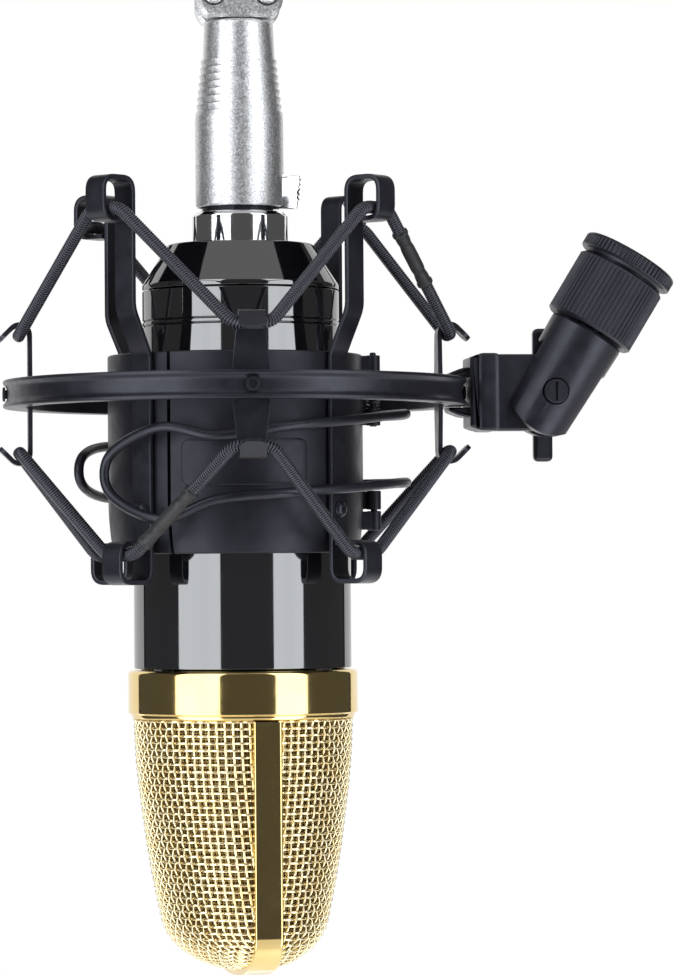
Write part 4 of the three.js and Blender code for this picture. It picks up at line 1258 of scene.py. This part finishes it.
def add_barrel():
    top, size = BARREL_TOP, BARREL_ROUND
    blank = add_mesh("barrel", moved(turned([
        (0, -10), (7.1, -10), (7.884, top - 0.7), (7.75, top - 0.2), (7.4, top), (0, top),
    ], 96), IN_BARREL), FINISHES["satin_black"])
    turns = np.linspace(-math.pi / 2, math.pi / 2, 49)
    outline = [*((size * math.sin(a), -size * math.cos(a)) for a in turns), (size, top + 3), (-size, top + 3)]
    carve(blank, moved(extruded(outline, -12, 12, 0.1), IN_BARREL), "INTERSECT")
    slot_half = TONGUE_Y + 0.3
    across = IN_BARREL @ pointing(BACK)
    tools = (
        (block((-12, 12), (-slot_half, slot_half), (-12, TONGUE_HALF + 0.35), 0.05, 0.1), IN_BARREL),
        (rod(BOLT_BORE_R, -12, 12), across),
        (rod(2.75, -12, -6.2), across),
        (rod(3.3, 9.4, 18), IN_BARREL),
    )
    for tool, where in tools:
        carve(blank, moved(tool, where))
    claim(blank, "swivel_barrel")


def add_bolt():
    head = moved(recessed_head(2.45, 1.5, slot_recess(2.1, 0.26), 0.6), pointing(FRONT, (0, -6.5, 0)))
    shank = moved(turned([(0, -17), (1.7, -17), (2, -16.7), (2, 6.4), (0, 6.4)], 40), pointing(FRONT))
    stand_in("pivot_bolt", merged(head, shank), IN_SWIVEL)


def add_collar():
    size = COLLAR_R
    low, high = COLLAR_S
    profile = [
        (3.3, low), (size - 0.5, low), (size, low + 0.45), (size, low + 0.9), (size, high - 0.9),
        (size, high - 0.45), (size - 0.5, high), (8.0, high), (8.0, 17.3), (3.3, 17.3),
    ]
    stand_in("swivel_collar", knurled(profile, COLLAR_FLUTES, 0.36, low + 0.5, high - 0.5), IN_BARREL)


def add_adapter():
    size = ADAPTER_R
    foot, low, high = ADAPTER_S
    thread = []
    for i in range(1, THREAD_TURNS + 1):
        z = high - i * THREAD_PITCH
        thread += [(4.4, z), (4.75, z - THREAD_PITCH / 2)]
    profile = [
        (7.7, foot), (7.7, low - 0.6), (8.6, low - 0.6), (8.9, low), (size - 0.35, low), (size, low + 0.3),
        (size, low + 0.4), (size, high - 0.75), (size, high - 0.6), (size - 0.2, high - 0.25),
        (size - 0.6, high), (5.0, high), (4.75, high - 0.3), *thread, (4.4, foot),
    ]
    stand_in("thread_adapter", knurled(profile, ADAPTER_FLUTES, 0.28, low + 0.35, high - 0.7), IN_BARREL)


def add_swivel():
    add_bracket()
    add_barrel()
    add_bolt()
    add_wing_nut()
    add_collar()
    add_adapter()
    head = recessed_head(4.3, 1.8, cross_recess(2.2, 0.5), 1.2, dome=0.3)
    screw = merged(head, rod(3, -8, 0.05, 32))
    stand_in("swivel_screw", moved(screw, Matrix.Translation((0, 0, SWIVEL_SCREW_S))), IN_BARREL)


def add_wing_nut():
    """A bar-shaped nut behind the barrel; it was tightened upright."""
    hub = moved(turned(rounded([
        (2.3, 8.4), (4.2, 8.4, 0.4), (4.2, 12.6, 0.6), (3.4, 14.5, 0.6), (2.3, 14.5, 0.2),
    ], 0.3, 4), 48), pointing(BACK))
    half, reach = 1.95, 13.7
    wings = []
    for side in (-1, 1):
        outline = rounded([
            (-half, side * 2.9), (half, side * 2.9), (half, side * reach, 1.2), (-half, side * reach, 1.2),
        ], 0.4, 6)
        wings.append(extruded(outline, 11.0, 14.0, 0.7))
    stand_in("wing_nut", merged(hub, *wings), IN_SWIVEL)


# ---- studio ----
def add_floor():
    size, depth = 2.4, 0.2
    low = CAD_BOX[0][2] - 1.0
    corner = rounded([(-size, -size), (size, -size), (size, size), (-size, size)], 0.5, 6)
    points, faces = loft([np.column_stack([corner, np.full(len(corner), z)]) for z in (low - depth, low)])
    pale = Finish("pale floor", (0.78, 0.78, 0.78), 0.0, 0.7).material
    add_mesh("studio_floor", ((points - np.array(ORIGIN)) / MM, faces), pale)


def add_softbox(name, azimuth, elevation, distance, sizes, strength, tint=(1, 1, 1)):
    """A rectangular light that faces the microphone; strength is its radiance."""
    light = bpy.data.lights.new(name, "AREA")
    light.shape = "RECTANGLE"
    light.size, light.size_y = sizes
    light.energy = strength * math.pi * sizes[0] * sizes[1]
    light.color = tint
    lamp = bpy.data.objects.new(name, light)
    a, e = math.radians(azimuth), math.radians(elevation)
    away = Vector((math.sin(a) * math.cos(e), -math.cos(a) * math.cos(e), math.sin(e)))
    lamp.location = ORIGIN + away * distance
    lamp.rotation_mode = "QUATERNION"
    lamp.rotation_quaternion = away.to_track_quat("Z", "Y")
    lamp.visible_camera = False
    bpy.context.scene.collection.objects.link(lamp)


def add_lights():
    add_softbox("left softbox", -51, 4, 0.75, (0.66, 1.8), 2.8, COOL_LIGHT)
    add_softbox("right softbox", 45, 4, 0.75, (0.46, 1.8), 2.8, COOL_LIGHT)
    add_softbox("rear wall", 180, 4, 1.5, (3.2, 2.2), 1.0)
    add_softbox("overhead softbox", 0, 80, 1.0, (1.2, 1.2), 0.5)
    for side in (-90, 0, 90):
        add_softbox(f"dim room {side % 360}", side, 4, 1.6, (2.7, 2.4), 0.085)
    world = bpy.data.worlds.new("white studio")
    bpy.context.scene.world = world
    world.use_nodes = True
    backdrop = world.node_tree.nodes["Background"]
    backdrop.inputs["Color"].default_value = (1, 1, 1, 1)
    backdrop.inputs["Strength"].default_value = 1.0
    world.cycles_visibility.glossy = False


def add_camera():
    data = bpy.data.cameras.new("camera")
    data.lens = CAMERA_LENS
    data.sensor_width = 36
    data.clip_end = 50
    camera = bpy.data.objects.new("camera", data)
    away = Vector((math.sin(CAMERA_AZ), -math.cos(CAMERA_AZ), 0))
    camera.location = ORIGIN + away * CAMERA_DISTANCE
    look = Matrix.Rotation(CAMERA_AZ - AIM_RIGHT, 4, "Z") @ Matrix.Rotation(math.pi / 2 + AIM_UP, 4, "X")
    camera.rotation_mode = "QUATERNION"
    camera.rotation_quaternion = (look @ Matrix.Rotation(-CAMERA_ROLL, 4, "Z")).to_quaternion()
    bpy.context.scene.collection.objects.link(camera)
    bpy.context.scene.camera = camera


add_camera()
finish_cad_nodes()
add_body()
add_grille()
add_plug()
add_clamp()
add_ring()
add_cords()
add_swivel()
add_floor()
add_lights()
bpy.context.scene.view_settings.view_transform = "Standard"
